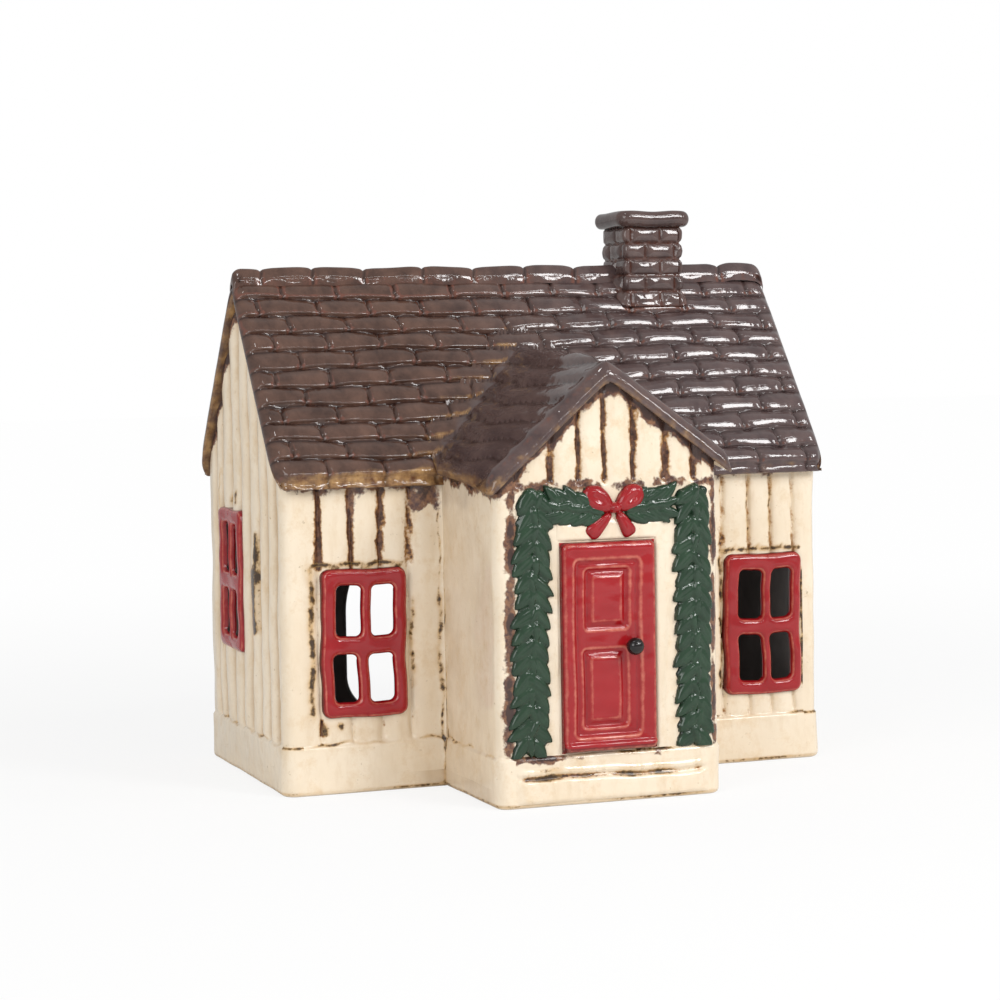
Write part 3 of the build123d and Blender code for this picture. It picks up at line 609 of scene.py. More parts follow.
def cotton():
    """Braided cotton wick: off-white, matt, with a slanting braid half a mm wide.

    A wave repeats every 0.31 of the size that its scale stands for.
    """
    material, tree, place = start_material("Braided cotton")
    braid = add_node(tree, "ShaderNodeTexWave",
                     {"Scale": per_mm(1.6), "Distortion": 1.5, "bands_direction": "DIAGONAL"},
                     {"Vector": place}).outputs["Fac"]
    colour = coats(tree, "#cfc7b4", (braid, "#f1ecdf"))
    finish_material(tree, colour, {"Roughness": 0.9}, place, ((0.4, 0.05),))
    return material


def tinned_steel():
    """Stamped tinplate of the wick holder: grey, half bright, lightly scratched.

    The scratches are drawn 0.8 mm wide, coarser than real, so that they show.
    """
    material, tree, place = start_material("Stamped tinplate")
    grain = add_node(tree, "ShaderNodeTexNoise", {"Scale": per_mm(0.8), "Detail": 4.0},
                     {"Vector": place}).outputs["Fac"]
    rough = add_node(tree, "ShaderNodeMapRange", {"To Min": 0.25, "To Max": 0.5},
                     {"Value": grain}).outputs["Result"]
    colour = coats(tree, "#9a9c9e", (grain, "#c2c4c6"))
    finish_material(tree, colour, {"Metallic": 1.0}, place, ((2.0, 0.02),),
                    {"Roughness": rough})
    return material


cream = cream_glaze()
brown = brown_glaze()
red = red_glaze()
green = green_glaze()
black = black_glaze()
liner = inner_glaze()


# Walls
def wall_rows(level):
    """Heights of the rows of a wall up to level, close together at the ledge."""
    return places(floor_top, level, 1.15, 0.22, (plinth_top,), 1.0)


def under_roof(y):
    """Height of a wall's top at depth y: the roof's underside, lapped a little into it."""
    return main_roof_z(y) - roof_drop + roof_lap


def wall_sheet(name, plan, out, inner, along, joints, tops, level, pool_at, stain_at,
               hole=None, field_from=plinth_top + 0.6, spill_at=None, shade_at=None,
               depth=0.75, width=0.6, crown=0.4, painted_shade=0.0):
    """A wall as a height sheet on a plan path, with the liner on its back and rims.

    Rows are level up to a height, then squeezed up to the underside of the roof.
    A point stands out by plinth + wobble + a low crown on each board, less a bell of
    this depth and width at each joint. Cells inside the hole are left out. The marks
    are pool in the joints, stain along the ledge and under the roof, spill below the
    roof, and shade, which is painted shade and in places thicker glaze, of which dusk
    is the share painted as shadow beside each joint.
    """
    rows = wall_rows(level)
    level_rows = np.repeat(rows[:, None], len(along), axis=1)
    squeeze = np.linspace(0.0, 1.0, 40)[1:, None]
    z, inner_z = (np.vstack([level_rows, level + (top - level) * squeeze]) for top in tops)
    x, y = plan[:, 0] + 0 * z, plan[:, 1] + 0 * z
    lean = 0.3 * np.sin(0.11 * z + along) + 0.12 * np.sin(0.9 * z + 2.0 * along)
    d = nearest(along + lean, joints)
    shown = ramp(field_from - 0.9, field_from + 0.9, z)
    end = ramp(0.0, 2.0, np.minimum(np.abs(along - along[0]), np.abs(along - along[-1])))
    relief = plinth(z) + wobble(x, y, z)
    pillow = crown * (1.0 - end * hump(d, 2.4))
    relief = relief + shown * (pillow - depth * hump(d, width) - 0.3)
    front = np.stack([x + out[:, 0] * relief, y + out[:, 1] * relief, z], axis=-1)
    back = np.stack([inner[:, 0] + 0 * z, inner[:, 1] + 0 * z, inner_z], axis=-1)
    keep = None
    if hole is not None:
        a0, a1, z0, z1 = hole
        mid_a = (along[1:] + along[:-1]) / 2
        mid_z = (z[1:, :-1] + z[:-1, :-1]) / 2
        keep = ~((mid_a > a0) & (mid_a < a1) & (mid_z > z0) & (mid_z < z1))
    quads = grid_quads(len(z), len(along), keep)
    ledge = plinth_top + 0.3 + 0.35 * np.sin(0.31 * along + 1.0) + 0.25 * np.sin(0.83 * along)
    patchy = 0.4 + 0.3 * np.sin(0.19 * along + 0.7) + 0.25 * np.sin(0.47 * along)
    crack = patchy * hump(z - ledge, 0.5)
    below = tops[0] - z
    ragged = 0.8 * np.sin(0.5 * along) + 0.5 * np.sin(1.3 * along + 1.0)
    spill = 0.95 * np.exp(-np.maximum(below - 2.0 + ragged, 0.0) / 1.7)
    spill = spill * (1.0 - 0.4 * ramp(20.0, 40.0, x))
    crack = crack + 0.42 * np.exp(-np.maximum(below - 1.0, 0.0) / 3.5)
    spill = spill if spill_at is None else np.maximum(spill, spill_at(x, y, z))
    shade = 0.0 * z if shade_at is None else shade_at(x, y, z)
    # Painted shadow beside each joint, as much as dusk of the shade mark
    shade = shade + painted_shade * shown * hump(d, 1.3)
    marks = {"pool": shown * hump(d, 1.0) * pool_at(along + 0 * z, z),
             "stain": np.clip(crack + stain_at(along + 0 * z, z), 0.0, 1.0),
             "shade": np.clip(shade, 0.0, 1.0), "spill": np.clip(spill, 0.0, 1.0)}
    return closed_shell(name, front, back, quads, (cream, liner), marks,
                        rim_skin=1)


def clean(a, z):
    """No mark anywhere."""
    return 0 * z


def streaks(lines):
    """Upright chains of dots: bells across each (place, low, high, width, strength).

    Two unrelated sines of the height swell and bend each line, and a wide faint bell
    rings it.
    """
    def at(a, z):
        """The stain at a mm along the wall and z mm up."""
        total = np.zeros_like(z)
        for place, low, high, width, strength in lines:
            band = ramp(low - 1.0, low + 1.0, z) * (1.0 - ramp(high - 1.0, high + 1.0, z))
            chain = 0.68 + 0.32 * np.sin(1.3 * z + 2.0 * np.sin(0.47 * z + place))
            chain = chain * (0.8 + 0.2 * np.sin(0.61 * z + 2.0 * place))
            away = a - place - 0.3 * np.sin(0.37 * z + place) - 0.12 * np.sin(1.7 * z)
            total = total + strength * band * (chain * hump(away, width)
                                               + 0.38 * hump(away, 3.0 * width))
        return total
    return at


def front_wall(name, x0, x1, joints, hole, pool_at, stain_at, by_porch, spill_at,
               shade_at, lines):
    """A stretch of the long front wall, with a pooled fillet of glaze at the porch.

    It laps a little into the porch's side wall, which stands at x = by_porch.
    """
    if by_porch == x1:
        x1 = x1 + porch_lap
    else:
        x0 = x0 - porch_lap
    along = places(x0, x1, 1.1, 0.2, (*joints, by_porch, *lines), 0.9)
    fillet = 0.9 * np.exp(-np.abs(along - by_porch) / 0.8)
    plan = np.stack([along, front_y - fillet], axis=-1)
    out = np.tile([0.0, -1.0], (len(along), 1))
    inner = np.stack([along, np.full_like(along, front_y + wall)], axis=-1)
    tops = (np.full_like(along, under_roof(front_y)),
            np.full_like(along, under_roof(front_y + wall)))
    return wall_sheet(name, plan, out, inner, along, joints, tops, wall_level, pool_at,
                      stain_at, hole, spill_at=spill_at, shade_at=shade_at)


def corner_plan(x_face, y_front, y_back, x_start, steps, turn_back):
    """Plan of a side wall: a strip of the front, a quarter arc and the side at steps.

    If turn_back, a second arc and a strip of the rear follow. Returns the points and
    their outward directions.
    """
    sign = np.sign(x_face - x_start)
    cx = x_face - sign * corner
    strip = np.linspace(x_start, cx, 4)[:-1]
    arc = np.linspace(0.0, pi / 2, 13)
    side_end = y_back - corner if turn_back else y_back
    side = steps[(steps > y_front + corner + 0.05) & (steps < side_end - 0.05)]
    points = [np.stack([strip, np.full_like(strip, y_front)], axis=-1),
              np.stack([cx + sign * corner * np.sin(arc),
                        y_front + corner - corner * np.cos(arc)], axis=-1),
              np.stack([np.full_like(side, x_face), side], axis=-1)]
    outs = [np.tile([0.0, -1.0], (len(strip), 1)),
            np.stack([sign * np.sin(arc), -np.cos(arc)], axis=-1),
            np.tile([sign, 0.0], (len(side), 1))]
    if turn_back:
        points += [np.stack([cx + sign * corner * np.cos(arc),
                             y_back - corner + corner * np.sin(arc)], axis=-1),
                   np.stack([strip[::-1], np.full_like(strip, y_back)], axis=-1)]
        outs += [np.stack([sign * np.cos(arc), np.sin(arc)], axis=-1),
                 np.tile([0.0, 1.0], (len(strip), 1))]
    else:
        points.append(np.array([[x_face, y_back]]))
        outs.append(np.array([[sign, 0.0]]))
    return np.vstack(points), np.vstack(outs)


gable_joints = np.array([-10.7, -3.0, 4.9, 13.9, 22.6, 31.6, 41.3, 47.8])
gable_steps = places(front_y + corner, rear_y - corner, 1.1, 0.2,
                     (*gable_joints, 8.0, 10.4, 19.4, 43.4), 0.9)
porch_back = front_y + 0.4
porch_steps = places(porch_y + corner, porch_back, 1.5, 0.3, (porch_back,), 1.2)


def gable_wall(name, side, hole, pool_at, stain_at):
    """An end wall of the house, turned round both of its corners.

    Its boards stand further out than the long walls' but fall to them by the corners.
    """
    plan, out = corner_plan(side * side_x, front_y, rear_y, side * inner_x, gable_steps, True)
    # The inner points are spread a little, so that no two of a corner meet
    share = np.linspace(0.0, 1.0, len(plan))
    inner_y = np.clip(plan[:, 1], front_y + wall, rear_y - wall)
    inner_y = inner_y + 0.6 * (share - 0.5)
    inner = np.stack([np.full_like(inner_y, side * inner_x), inner_y], axis=-1)
    # The arcs and strips count as 8 mm past the end, where no joint or streak is
    along = np.where(np.abs(plan[:, 0]) >= side_x - 1e-6, plan[:, 1],
                     np.where(plan[:, 1] < ridge_y, front_y - 8.0, rear_y + 8.0))
    tops = (under_roof(plan[:, 1]), under_roof(inner_y))
    from_corner = np.minimum(plan[:, 1] - front_y, rear_y - plan[:, 1]) - corner
    crown = 0.4 + 0.55 * ramp(0.0, 5.0, from_corner)
    # Its joints are deeper, with painted shadow beside them (dusk)
    return wall_sheet(name, plan, out, inner, along, gable_joints, tops, wall_level,
                      pool_at, stain_at, hole, depth=1.2, width=0.95, crown=crown, painted_shade=0.85)


def porch_side_wall(name, side, x_face, stain_at):
    """A side wall of the porch, turned round its front corner, up under its roof."""
    plan, out = corner_plan(x_face, porch_y, porch_back, x_face - side * wall, porch_steps,
                            False)
    share = np.linspace(0.0, 1.0, len(plan))
    inner_y = np.clip(plan[:, 1], porch_y + wall, front_y + wall) + 0.5 * (share - 0.5)
    inner = np.stack([np.full_like(inner_y, x_face - side * wall), inner_y], axis=-1)
    lift = 0.5 - porch_drop(side)
    tops = (porch_roof_z(side, plan[:, 0], plan[:, 1]) + lift,
            porch_roof_z(side, inner[:, 0], inner[:, 1]) + lift)
    # The arc and the strip count as 200 mm away, where no streak is
    along = plan[:, 1] + 200.0 * (plan[:, 0] != x_face)
    return wall_sheet(name, plan, out, inner, along, far_joint, tops, porch_side_level,
                      clean, stain_at, spill_at=porch_spill, shade_at=porch_shade)


def gable_pool(a, z):
    """Thin brown glaze all along the boards' joints, in slow waves."""
    return 0.33 + 0.12 * np.sin(0.7 * a) + 0.10 * np.sin(0.13 * z + a)


gable_wall("left_gable_wall", -1, gable_hole, gable_pool,
           streaks(((10.0, 39.0, 56.0, 1.5, 1.9), (7.6, 53.0, 66.0, 0.8, 1.3),
                    (4.9, 40.0, 70.0, 0.4, 0.6), (43.4, 30.0, 80.0, 0.3, 0.6),
                    (-10.7, 60.0, 79.0, 0.3, 0.4), (26.0, 71.6, 76.0, 0.6, 1.1),
                    (33.0, 71.6, 74.5, 0.6, 1.0))))
gable_wall("right_gable_wall", 1, None, gable_pool,
           streaks(((13.9, 30.0, 80.0, 0.3, 0.4), (41.3, 20.0, 60.0, 0.3, 0.4))))

left_joints = np.array([-65.6, -56.8, -48.9, -41.5])
right_joints = np.array([32.6, 39.8, 46.8, 54.7, 61.3, 67.9])


def left_pool(a, z):
    """Dark glaze in the grooves under the eave, spots under the window, else faint."""
    strong = 1.0 - 0.32 * hump(a + 48.9, 3.0) - 0.55 * hump(a + 41.5, 3.0)
    over = (strong + 0.14 * np.sin(0.8 * z + a)) * ramp(56.5, 59.0, z)
    under = 0.7 * hump(a + 64.6, 3.0) * ramp(14.0, 15.5, z) * (1.0 - ramp(18.6, 20.0, z))
    return 0.16 + over + under + 0.12 * np.sin(0.9 * z + 3.0 * a)


def left_stains(a, z):
    """Dotted lines beside the window, a deposit along its head, drips and a crack.

    The crack runs down the corner by the porch.
    """
    lines = streaks(((-67.7, 20.0, 58.5, 0.75, 0.95), (-40.9, 26.0, 50.0, 0.55, 0.7),
                     (-33.6, 25.0, 50.0, 0.6, 0.75), (-33.0, 0.0, 26.0, 0.35, 0.8),
                     (-33.4, 50.0, 72.0, 0.3, 0.6), (-64.4, 14.6, 18.4, 0.7, 1.0),
                     (-60.6, 16.6, 18.4, 0.7, 1.1), (-52.4, 14.0, 16.5, 0.5, 0.6)))(a, z)
    head = 1.15 * hump(z - 58.5 - 0.5 * np.sin(0.74 * a), 0.75)
    head = head * ramp(-68.5, -66.0, a) * (1.0 - ramp(-44.5, -41.0, a))
    return lines + head


def left_spill(x, y, z):
    """Brown glaze run down from the eave, furthest beside the porch and in one groove."""
    by_porch = 0.9 * hump(x + 37.0, 4.5) * ramp(68.0, 74.5, z + 1.5 * np.sin(0.9 * x))
    drip = 0.75 * hump(x + 56.8, 1.5) * ramp(66.0, 72.0, z)
    return np.maximum(by_porch, drip)


def left_shade(x, y, z):
    """Painted shade towards the corner by the porch, which shades the wall there, and thicker,
    browner glaze left of the window.
    """
    side = 0.2 * hump(x + 68.6, 2.2) * ramp(12.0, 20.0, z) * (1.0 - ramp(56.0, 66.0, z))
    return 0.12 * ramp(-45.0, -37.0, x) + side


def right_stains(a, z):
    """Drips at the window's head and brown lines beside it."""
    lines = streaks(((46.3, 20.0, 56.0, 0.5, 0.85), (70.2, 20.0, 52.0, 0.55, 1.1),
                     (61.3, 60.0, 77.0, 0.4, 0.75), (54.7, 60.0, 77.0, 0.4, 0.7),
                     (46.8, 58.0, 77.0, 0.35, 0.45)))(a, z)
    head = 1.15 * hump(z - 57.6 - 0.5 * np.sin(0.9 * a), 0.65)
    return lines + head * ramp(45.0, 47.0, a) * (1.0 - ramp(69.0, 71.0, a))


def right_pool(a, z):
    """Thin brown glaze in the joints, with more of it just above the window."""
    return 0.3 + 0.2 * hump(z - 60.0, 3.0) + 0.15 * np.sin(0.8 * z + a)


front_wall("front_left_wall", -inner_x, porch_left, left_joints, left_hole,
           left_pool, left_stains, porch_left, left_spill, left_shade,
           (-67.7, -64.4, -60.4, -40.9, -33.6))
front_wall("front_right_wall", porch_right, inner_x, right_joints, right_hole,
           right_pool, right_stains, porch_right, None, None, (46.3, 70.2))


def porch_spill(x, y, z):
    """Brown glaze spilt beside the garland on both sides and above it."""
    fade = 0.2 * np.sin(0.31 * z) + 0.15 * np.sin(0.83 * z + 1.0)
    left = (0.84 + fade) * hump(x + 29.6 - 0.02 * (z - 13.0), 1.7) * (z > 12.6)
    right = (0.8 + fade) * hump(x - 25.6, 1.2) * (z > 12.6)
    patchy = 0.55 + 0.2 * np.sin(0.55 * x) - 0.1 * np.sin(1.7 * x)
    over = patchy * hump(z - 79.0, 2.0) + 0.25 * hump(x + 27.0, 4.0) * hump(z - 79.0, 2.2)
    face = hump(y - porch_y, 2.2)
    return face * np.maximum(np.maximum(left, right) * (z < 80.5), over)


def porch_shade(x, y, z):
    """Painted shade and thicker glaze: the side of the porch is browner than its front and its
    rounded corner.
    """
    return 0.27 * ramp(porch_y + 2.0, porch_y + 9.0, y) + 0.1 * ramp(front_y - 9.0, front_y, y)


corner_crack = streaks(((-18.6, 4.0, 60.0, 0.4, 0.8),))
porch_side_wall("porch_left_wall", -1, porch_left, corner_crack)
porch_side_wall("porch_right_wall", 1, porch_right, corner_crack)

porch_joints = np.array([-26.3, -17.8, -10.4, -3.4, 4.6, 12.9, 20.4])
boards_from = 79.5


def porch_pool(a, z):
    """Thick dark glaze in the joints of the porch gable."""
    return 0.92 + 0.2 * np.sin(0.6 * z + 2.0 * a)


def porch_front():
    """The porch gable: boards above the garland and a plain field behind the door."""
    along = places(porch_left + wall, porch_right - wall, 1.2, 0.2, porch_joints, 0.9)
    plan = np.stack([along, np.full_like(along, porch_y)], axis=-1)
    out = np.tile([0.0, -1.0], (len(along), 1))
    inner = np.stack([along, np.full_like(along, porch_y + wall)], axis=-1)
    tops = []
    for y in (porch_y, porch_y + wall):
        left = porch_roof_z(-1, along, y) - porch_drop(-1)
        right = porch_roof_z(1, along, y) - porch_drop(1)
        tops.append(np.where(along < porch_apex_x, left, right) + roof_lap)
    return wall_sheet("porch_front_wall", plan, out, inner, along, porch_joints, tops,
                      porch_front_level, porch_pool, clean, field_from=boards_from,
                      spill_at=porch_spill, shade_at=porch_shade, width=0.8)


porch_front()


def rear_wall():
    """The rear wall: rings from the outline of the arched opening out to the wall's edge."""
    count = 72
    inner_loop = box_loop(rear_opening, rear_radii, count)
    edge_top = under_roof(rear_y)
    outer_loop = box_loop((-inner_x, inner_x, floor_top, edge_top), (0, 0, 0, 0), count)
    t = places(0.0, 1.0, 0.05, 0.008, (0.0,), 0.05)[:, None, None]
    loops = inner_loop + (outer_loop - inner_loop) * t
    x, z = loops[..., 0], loops[..., 1]
    d = np.hypot(x - inner_loop[:, 0], z - inner_loop[:, 1])
    relief = plinth(z) + wobble(x, rear_y + 0 * x, z) - quarter_round(d, 1.6)
    front = np.stack([x, rear_y + relief, z], axis=-1)
    back = np.stack([x, np.full_like(x, rear_y - wall) + quarter_round(d, 1.2), z], axis=-1)
    zero = np.zeros_like(x)
    crack = 0.6 * hump(z - plinth_top - 0.3 - 0.3 * np.sin(0.3 * x), 0.35)
    below = edge_top - z
    marks = {"pool": 0.55 * hump(d, 0.5), "stain": crack, "shade": zero + 0.1,
             "spill": 0.9 * np.exp(-np.maximum(below - 1.6, 0.0) / 1.5)}
    return closed_shell("rear_wall", front, back, grid_quads(len(t), 4 * count, wrap=True),
                        (cream, liner), marks)


rear_wall()


def foot_outline(grow):
    """Plan of the house and porch, grown outwards, with rounded corners, going round."""
    end, left, right = side_x + grow, porch_left - grow, porch_right + grow
    front, rear, porch = front_y - grow, rear_y + grow, porch_y - grow
    c = corner + grow
    arc = np.linspace(0.0, pi / 2, 14)

    def bend(cx, cy, start):
        """A quarter circle round (cx, cy), from the angle start."""
        return np.stack([cx + c * np.cos(arc + start), cy + c * np.sin(arc + start)], axis=-1)

    def run(x0, y0, x1, y1):
        """Even places on a straight line, without its two ends."""
        t = np.linspace(0.0, 1.0, 30)[1:-1, None]
        return np.array([x0, y0]) + t * np.array([x1 - x0, y1 - y0])

    parts = [bend(left + c, porch + c, pi), run(left + c, porch, right - c, porch),
             bend(right - c, porch + c, 1.5 * pi), run(right, porch + c, right, front),
             np.array([[right, front]]), run(right, front, end - c, front),
             bend(end - c, front + c, 1.5 * pi), run(end, front + c, end, rear - c),
             bend(end - c, rear - c, 0.0), run(end - c, rear, c - end, rear),
             bend(c - end, rear - c, pi / 2), run(-end, rear - c, -end, front + c),
             bend(c - end, front + c, pi), run(c - end, front, left, front),
             np.array([[left, front]]), run(left, front, left, porch + c)]
    return np.vstack(parts)


def base_slab():
    """The floor slab: its outline carried up from a rolled foot to the wall's plinth."""
    outer = foot_outline(plinth_proud)
    inset = foot_outline(plinth_proud - 1.1)
    z = np.array([0.0, 0.15, 0.45, 0.9, 1.6, 2.4, 3.2, 4.0, 4.5])
    share = np.array([1.0, 0.62, 0.28, 0.08, 0.0, 0.0, 0.0, 0.0, 0.0])
    ring = outer + (inset - outer) * share[:, None, None]
    out = outer - inset
    out = out / np.linalg.norm(out, axis=1, keepdims=True)
    height = z[:, None] + 0 * ring[..., 0]
    ring = ring + out * wobble(ring[..., 0], ring[..., 1], height)[..., None]
    points = np.concatenate([ring, height[..., None]], axis=-1)
    count = len(outer)
    quads = grid_quads(len(z), count, wrap=True)
    caps = (np.arange(count)[::-1], np.arange(count) + (len(z) - 1) * count)
    line = (0.62 + 0.3 * np.sin(0.13 * ring[..., 0] + 0.2)) * hump(height - 0.7, 0.4)
    crack = 0.7 * hump(ring[..., 0] + 33.2, 0.6) * hump(ring[..., 1] + 18.0, 2.0)
    # Painted shade at the foot of the corner by the porch, on the front only
    shade = 0.35 * ramp(-45.0, -37.0, ring[..., 0]) * (np.abs(ring[..., 0] + 33.0) < 12.0)
    shade = shade * ramp(-56.0, -50.0, ring[..., 1]) * (ring[..., 1] < 0.0)
    marks = {"pool": 0 * height, "stain": np.maximum(line, crack), "shade": shade,
             "spill": 0 * height}
    piece = make_piece("base_slab", points, quads, "house", (cream, liner),
                       caps=caps, marks=marks)
    # The upper cap is the floor inside, which has the liner's glaze
    piece.data.polygons[-1].material_index = 1


base_slab()


# Main roof
def shingle_table(seed):
    """Where the joints of each course lie, and how each shingle tips: seeded and uneven.

    Every second course is shifted by half a shingle.
    """
    dice = np.random.default_rng(seed)
    count = int(2 * verge_x / shingle) + 3
    step = np.arange(count) * shingle - verge_x
    shift = -1.0 + np.where(np.arange(courses + 1) % 2 == 0, 0.0, shingle / 2)
    joints = step[None, :] + shift[:, None] + dice.uniform(-1.3, 1.3, (courses + 1, count))
    tips = dice.uniform(-1.0, 1.0, (courses + 1, count + 1))
    return joints, tips


def course_relief(x, s, facing, seed):
    """Relief of the shingles at x and s mm up a main slope, and where each point lies.

    A course lies level, then dips by a smooth ramp under the next one. At its lower
    edge it turns down by a smooth hinge dip (hypot(D - e, w) + D - e), e mm above the
    edge, then by a quarter round. Joints are bell shaped furrows. soft is how far the
    glaze has rounded the shingles, which grows to the right at the front. The place is
    the course, the share t of it passed, the distance d to a joint, the height e above
    the course's edge, the shingle's tip and soft.
    """
    dip, hinge, round_edge = 0.205, 0.3, 0.42
    course = np.clip((s / exposure + 1e-6).astype(int), 0, courses)
    t = np.clip(s / exposure - course, 0.0, 1.0)
    joints, tips = shingle_table(seed)
    lean = 0.22 * np.sin(0.9 * s + 2.0 * course) + 0.1 * np.sin(2.3 * s)
    gap = x[..., None] - joints[course] - lean[..., None]
    d = np.min(np.abs(gap), axis=-1)
    past = np.min(np.where(gap > 0, gap, shingle), axis=-1)
    tip = tips[course, np.sum(gap > 0, axis=-1)]
    soft = ramp(-24.0, 20.0, x + 8.0 * tip) if facing < 0 else 0.4 + 0.2 * tip + 0 * x
    e = t * exposure
    bevel = 0.25 + 1.5 * soft + 0.5 * (1.0 - soft) * hump(d - 1.0, 0.8)
    lip = 0.66 - 0.22 * soft
    turn = dip * (np.hypot(bevel - e, hinge) + bevel - e)
    turn = turn + lip * (1.0 - np.sqrt(1.0 - np.clip(1.0 - e / round_edge, 0, 1) ** 2))
    foot = dip * (np.hypot(bevel, hinge) + bevel) + lip
    furrow = (0.7 - 0.1 * soft) * hump(d, 0.5) + 0.25 * soft * hump(d, 1.5)
    crown = 0.2 * (1.0 - hump(d, 2.6)) * (1.0 - 0.5 * t) + 0.03 * tip * (past - 7.0)
    n = crown - foot * ramp(0.4, 1.0, t) - turn - furrow * (1.0 - 0.6 * ramp(0.5, 1.0, t))
    return n, (course, t, d, e, tip, soft)


def course_wave(x, s):
    """How far up or down the slope the courses wander: two sine waves, none at the ends."""
    wave = 0.4 * np.sin(0.07 * x + 0.12 * s) + 0.22 * np.sin(0.23 * x + 0.4 * s + 1.0)
    return wave * ramp(0.0, 6.0, s) * (1.0 - ramp(slope_length - 8, slope_length - 3, s))


def course_marks(course, t, d, soft):
    """Painted shade under the next course, and dark glaze with painted shade in the joints."""
    deep = 0.62 * hump(d, 0.42) + (0.9 - 0.2 * soft) * ramp(0.74, 0.93, t)
    return np.clip(deep, 0.0, 1.0) * (course < courses)


def valley_amber(x, over, e):
    """Amber glaze beside the valley, more under each course: exp(-reach / 10 - over / 7).

    over is how far the porch roof's plane stands above the main roof, and reach is the
    distance outside it.
    """
    reach = np.hypot(np.maximum(-over - 1.0, 0.0), np.maximum(porch_eave_x[-1] - x, 0.0))
    fade = np.exp(-reach / 10.0 - np.maximum(over, 0.0) / 7.0)
    return fade * (x < porch_apex_x) * (0.2 + 0.85 * hump(e - 0.5, 0.9))


def roof_slope(name, facing, seed):
    """One main slope as a height sheet on (x, distance up the slope).

    The first rows are the upright face of the eave. The verges are rounded, and drawn
    in at the eave and the ridge. The front slope is left out under the porch roof.
    """
    part = np.array([0.0, 0.018, 0.045, 0.08, 0.14, 0.2, 0.26, 0.34, 0.5, 0.66, 0.8, 0.91])
    drop = np.array([1.0, 0.75, 0.5, 0.25, 0.08])
    up = (np.arange(courses)[:, None] + part).ravel() * exposure
    up = np.concatenate([0 * drop, up,
                         courses * exposure + np.array([0.0, 0.2, 0.6, 1.4, ridge_leg])])
    face = np.concatenate([drop, np.zeros(len(up) - len(drop))])[:, None]
    x = places(-verge_x, verge_x, 0.5, 0.14, (-verge_x, verge_x), 0.6)
    s, x = np.meshgrid(up, x, indexing="ij")
    n, (course, t, d, e, tip, soft) = course_relief(x, s, facing, seed)
    n = n * (course < courses) + (course == courses) * (-0.5)
    # The verges are rounded, and the right one is thinner
    edge = np.minimum(x + verge_x, verge_x - x)
    n = -0.6 + (n + 0.6) * ramp(0.2, 2.8, edge) - 0.9 * quarter_round(edge, 2.2)
    n = n + 0.6 * wobble(x, s, s) - quarter_round(s, 1.0) * 0.7
    n = n - 0.9 * np.exp(-(verge_x - x) / 3.0)
    n = n - 1.2 * hump(slope_length - s, 3.5) * (1.0 - ramp(0.3, 4.0, edge))
    lift_tip = 0.3 * tip * ramp(0.6, 1.4, d) * hump(t, 0.35) * ramp(0.0, 6.0, s)
    place = s + course_wave(x, s) + lift_tip * (course < courses)
    y = eave_y + place * cos(roof_pitch) - n * sin(roof_pitch)
    z = eave_z + place * sin(roof_pitch) + n * cos(roof_pitch)
    # The upright face of the eave ends in soft drips
    drips = soffit_z + 0.35 + 0.2 * np.sin(0.4 * x) + 0.12 * np.sin(1.1 * x + 1.0)
    y = y + (eave_y + 0.4 - y) * face ** 3
    z = z + (drips - z) * face
    # The underside: the level soffit of the eave, then parallel to the slope
    rows = len(up)
    soffit_y = eave_y + (soffit_z - eave_z + roof_drop) / tan(roof_pitch)
    under = np.linspace(0.0, 1.0, rows - 2)[:, None]
    lift = quarter_round(edge[0], 0.8)
    back_y = np.vstack([eave_y + 0.55 + 0 * lift, eave_y + 1.0 + 0 * lift,
                        soffit_y + (ridge_y - soffit_y) * under + 0 * lift])
    back_z = np.vstack([soffit_z + 0.15 + lift, soffit_z + lift,
                        soffit_z + (apex_z - roof_drop - soffit_z) * under + lift])
    keep = np.ones((rows - 1, x.shape[1] - 1), bool)
    runs, west = 0 * x, 0.6 + 0 * x
    if facing < 0:
        # Cells well under the porch roof are left out
        left, right = porch_roof_z(-1, x, y), porch_roof_z(1, x, y)
        over = np.where(x < porch_apex_x, left, right) - z
        inside = (x > porch_eave_x[-1] + 1.5) & (x < porch_eave_x[1] - 1.5) & (over > 2.2)
        keep = ~(inside[1:, 1:] & inside[1:, :-1] & inside[:-1, 1:] & inside[:-1, :-1])
        runs = valley_amber(x, over, e)
        west = 1.0 - ramp(0.0, 35.0, x)
    else:
        y, back_y = 2 * ridge_y - y, 2 * ridge_y - back_y
    # The four corners are drawn in
    tuck = 2.0 * np.sign(x) * (1.0 - ramp(0.0, 7.0, edge))
    back_s = np.vstack([[[0.0], [0.0]], slope_length * under])
    pull = np.exp(-s / 2.5) + np.exp((s - slope_length) / 2.5)
    back_pull = np.exp(-back_s / 2.5) + np.exp((back_s - slope_length) / 2.5)
    front = np.stack([x - tuck * pull, y, z], axis=-1)
    back = np.stack([x - tuck * back_pull, back_y, back_z], axis=-1)
    # Red brown on the edges, towards the ridge and round the chimney, amber at the eave; the
    # light lines beside the joints and along the courses' lower edges are worn glaze and
    # painted highlight
    stack = np.maximum.reduce([stack_x[0] - x, x - stack_x[1],
                               stack_y[0] - y, y - stack_y[1]])
    lines = 0.66 * hump(d - 0.8, 0.35) * (1.0 - 0.45 * soft) + 0.5 * hump(e - 0.6, 0.4)
    haze = 0.35 * ramp(slope_length - 22.0, slope_length, s) * (1.0 - 0.6 * soft)
    rim = lines + haze + 0.2 * hump(edge, 1.2)
    rim = rim + 0.35 * np.exp(-np.maximum(stack, 0.0) / 2.0)
    low = (0.36 + 0.2 * west) * np.exp(-s / (0.5 + 0.4 * west)) + 0.22 * west * np.exp(-s / 4.0)
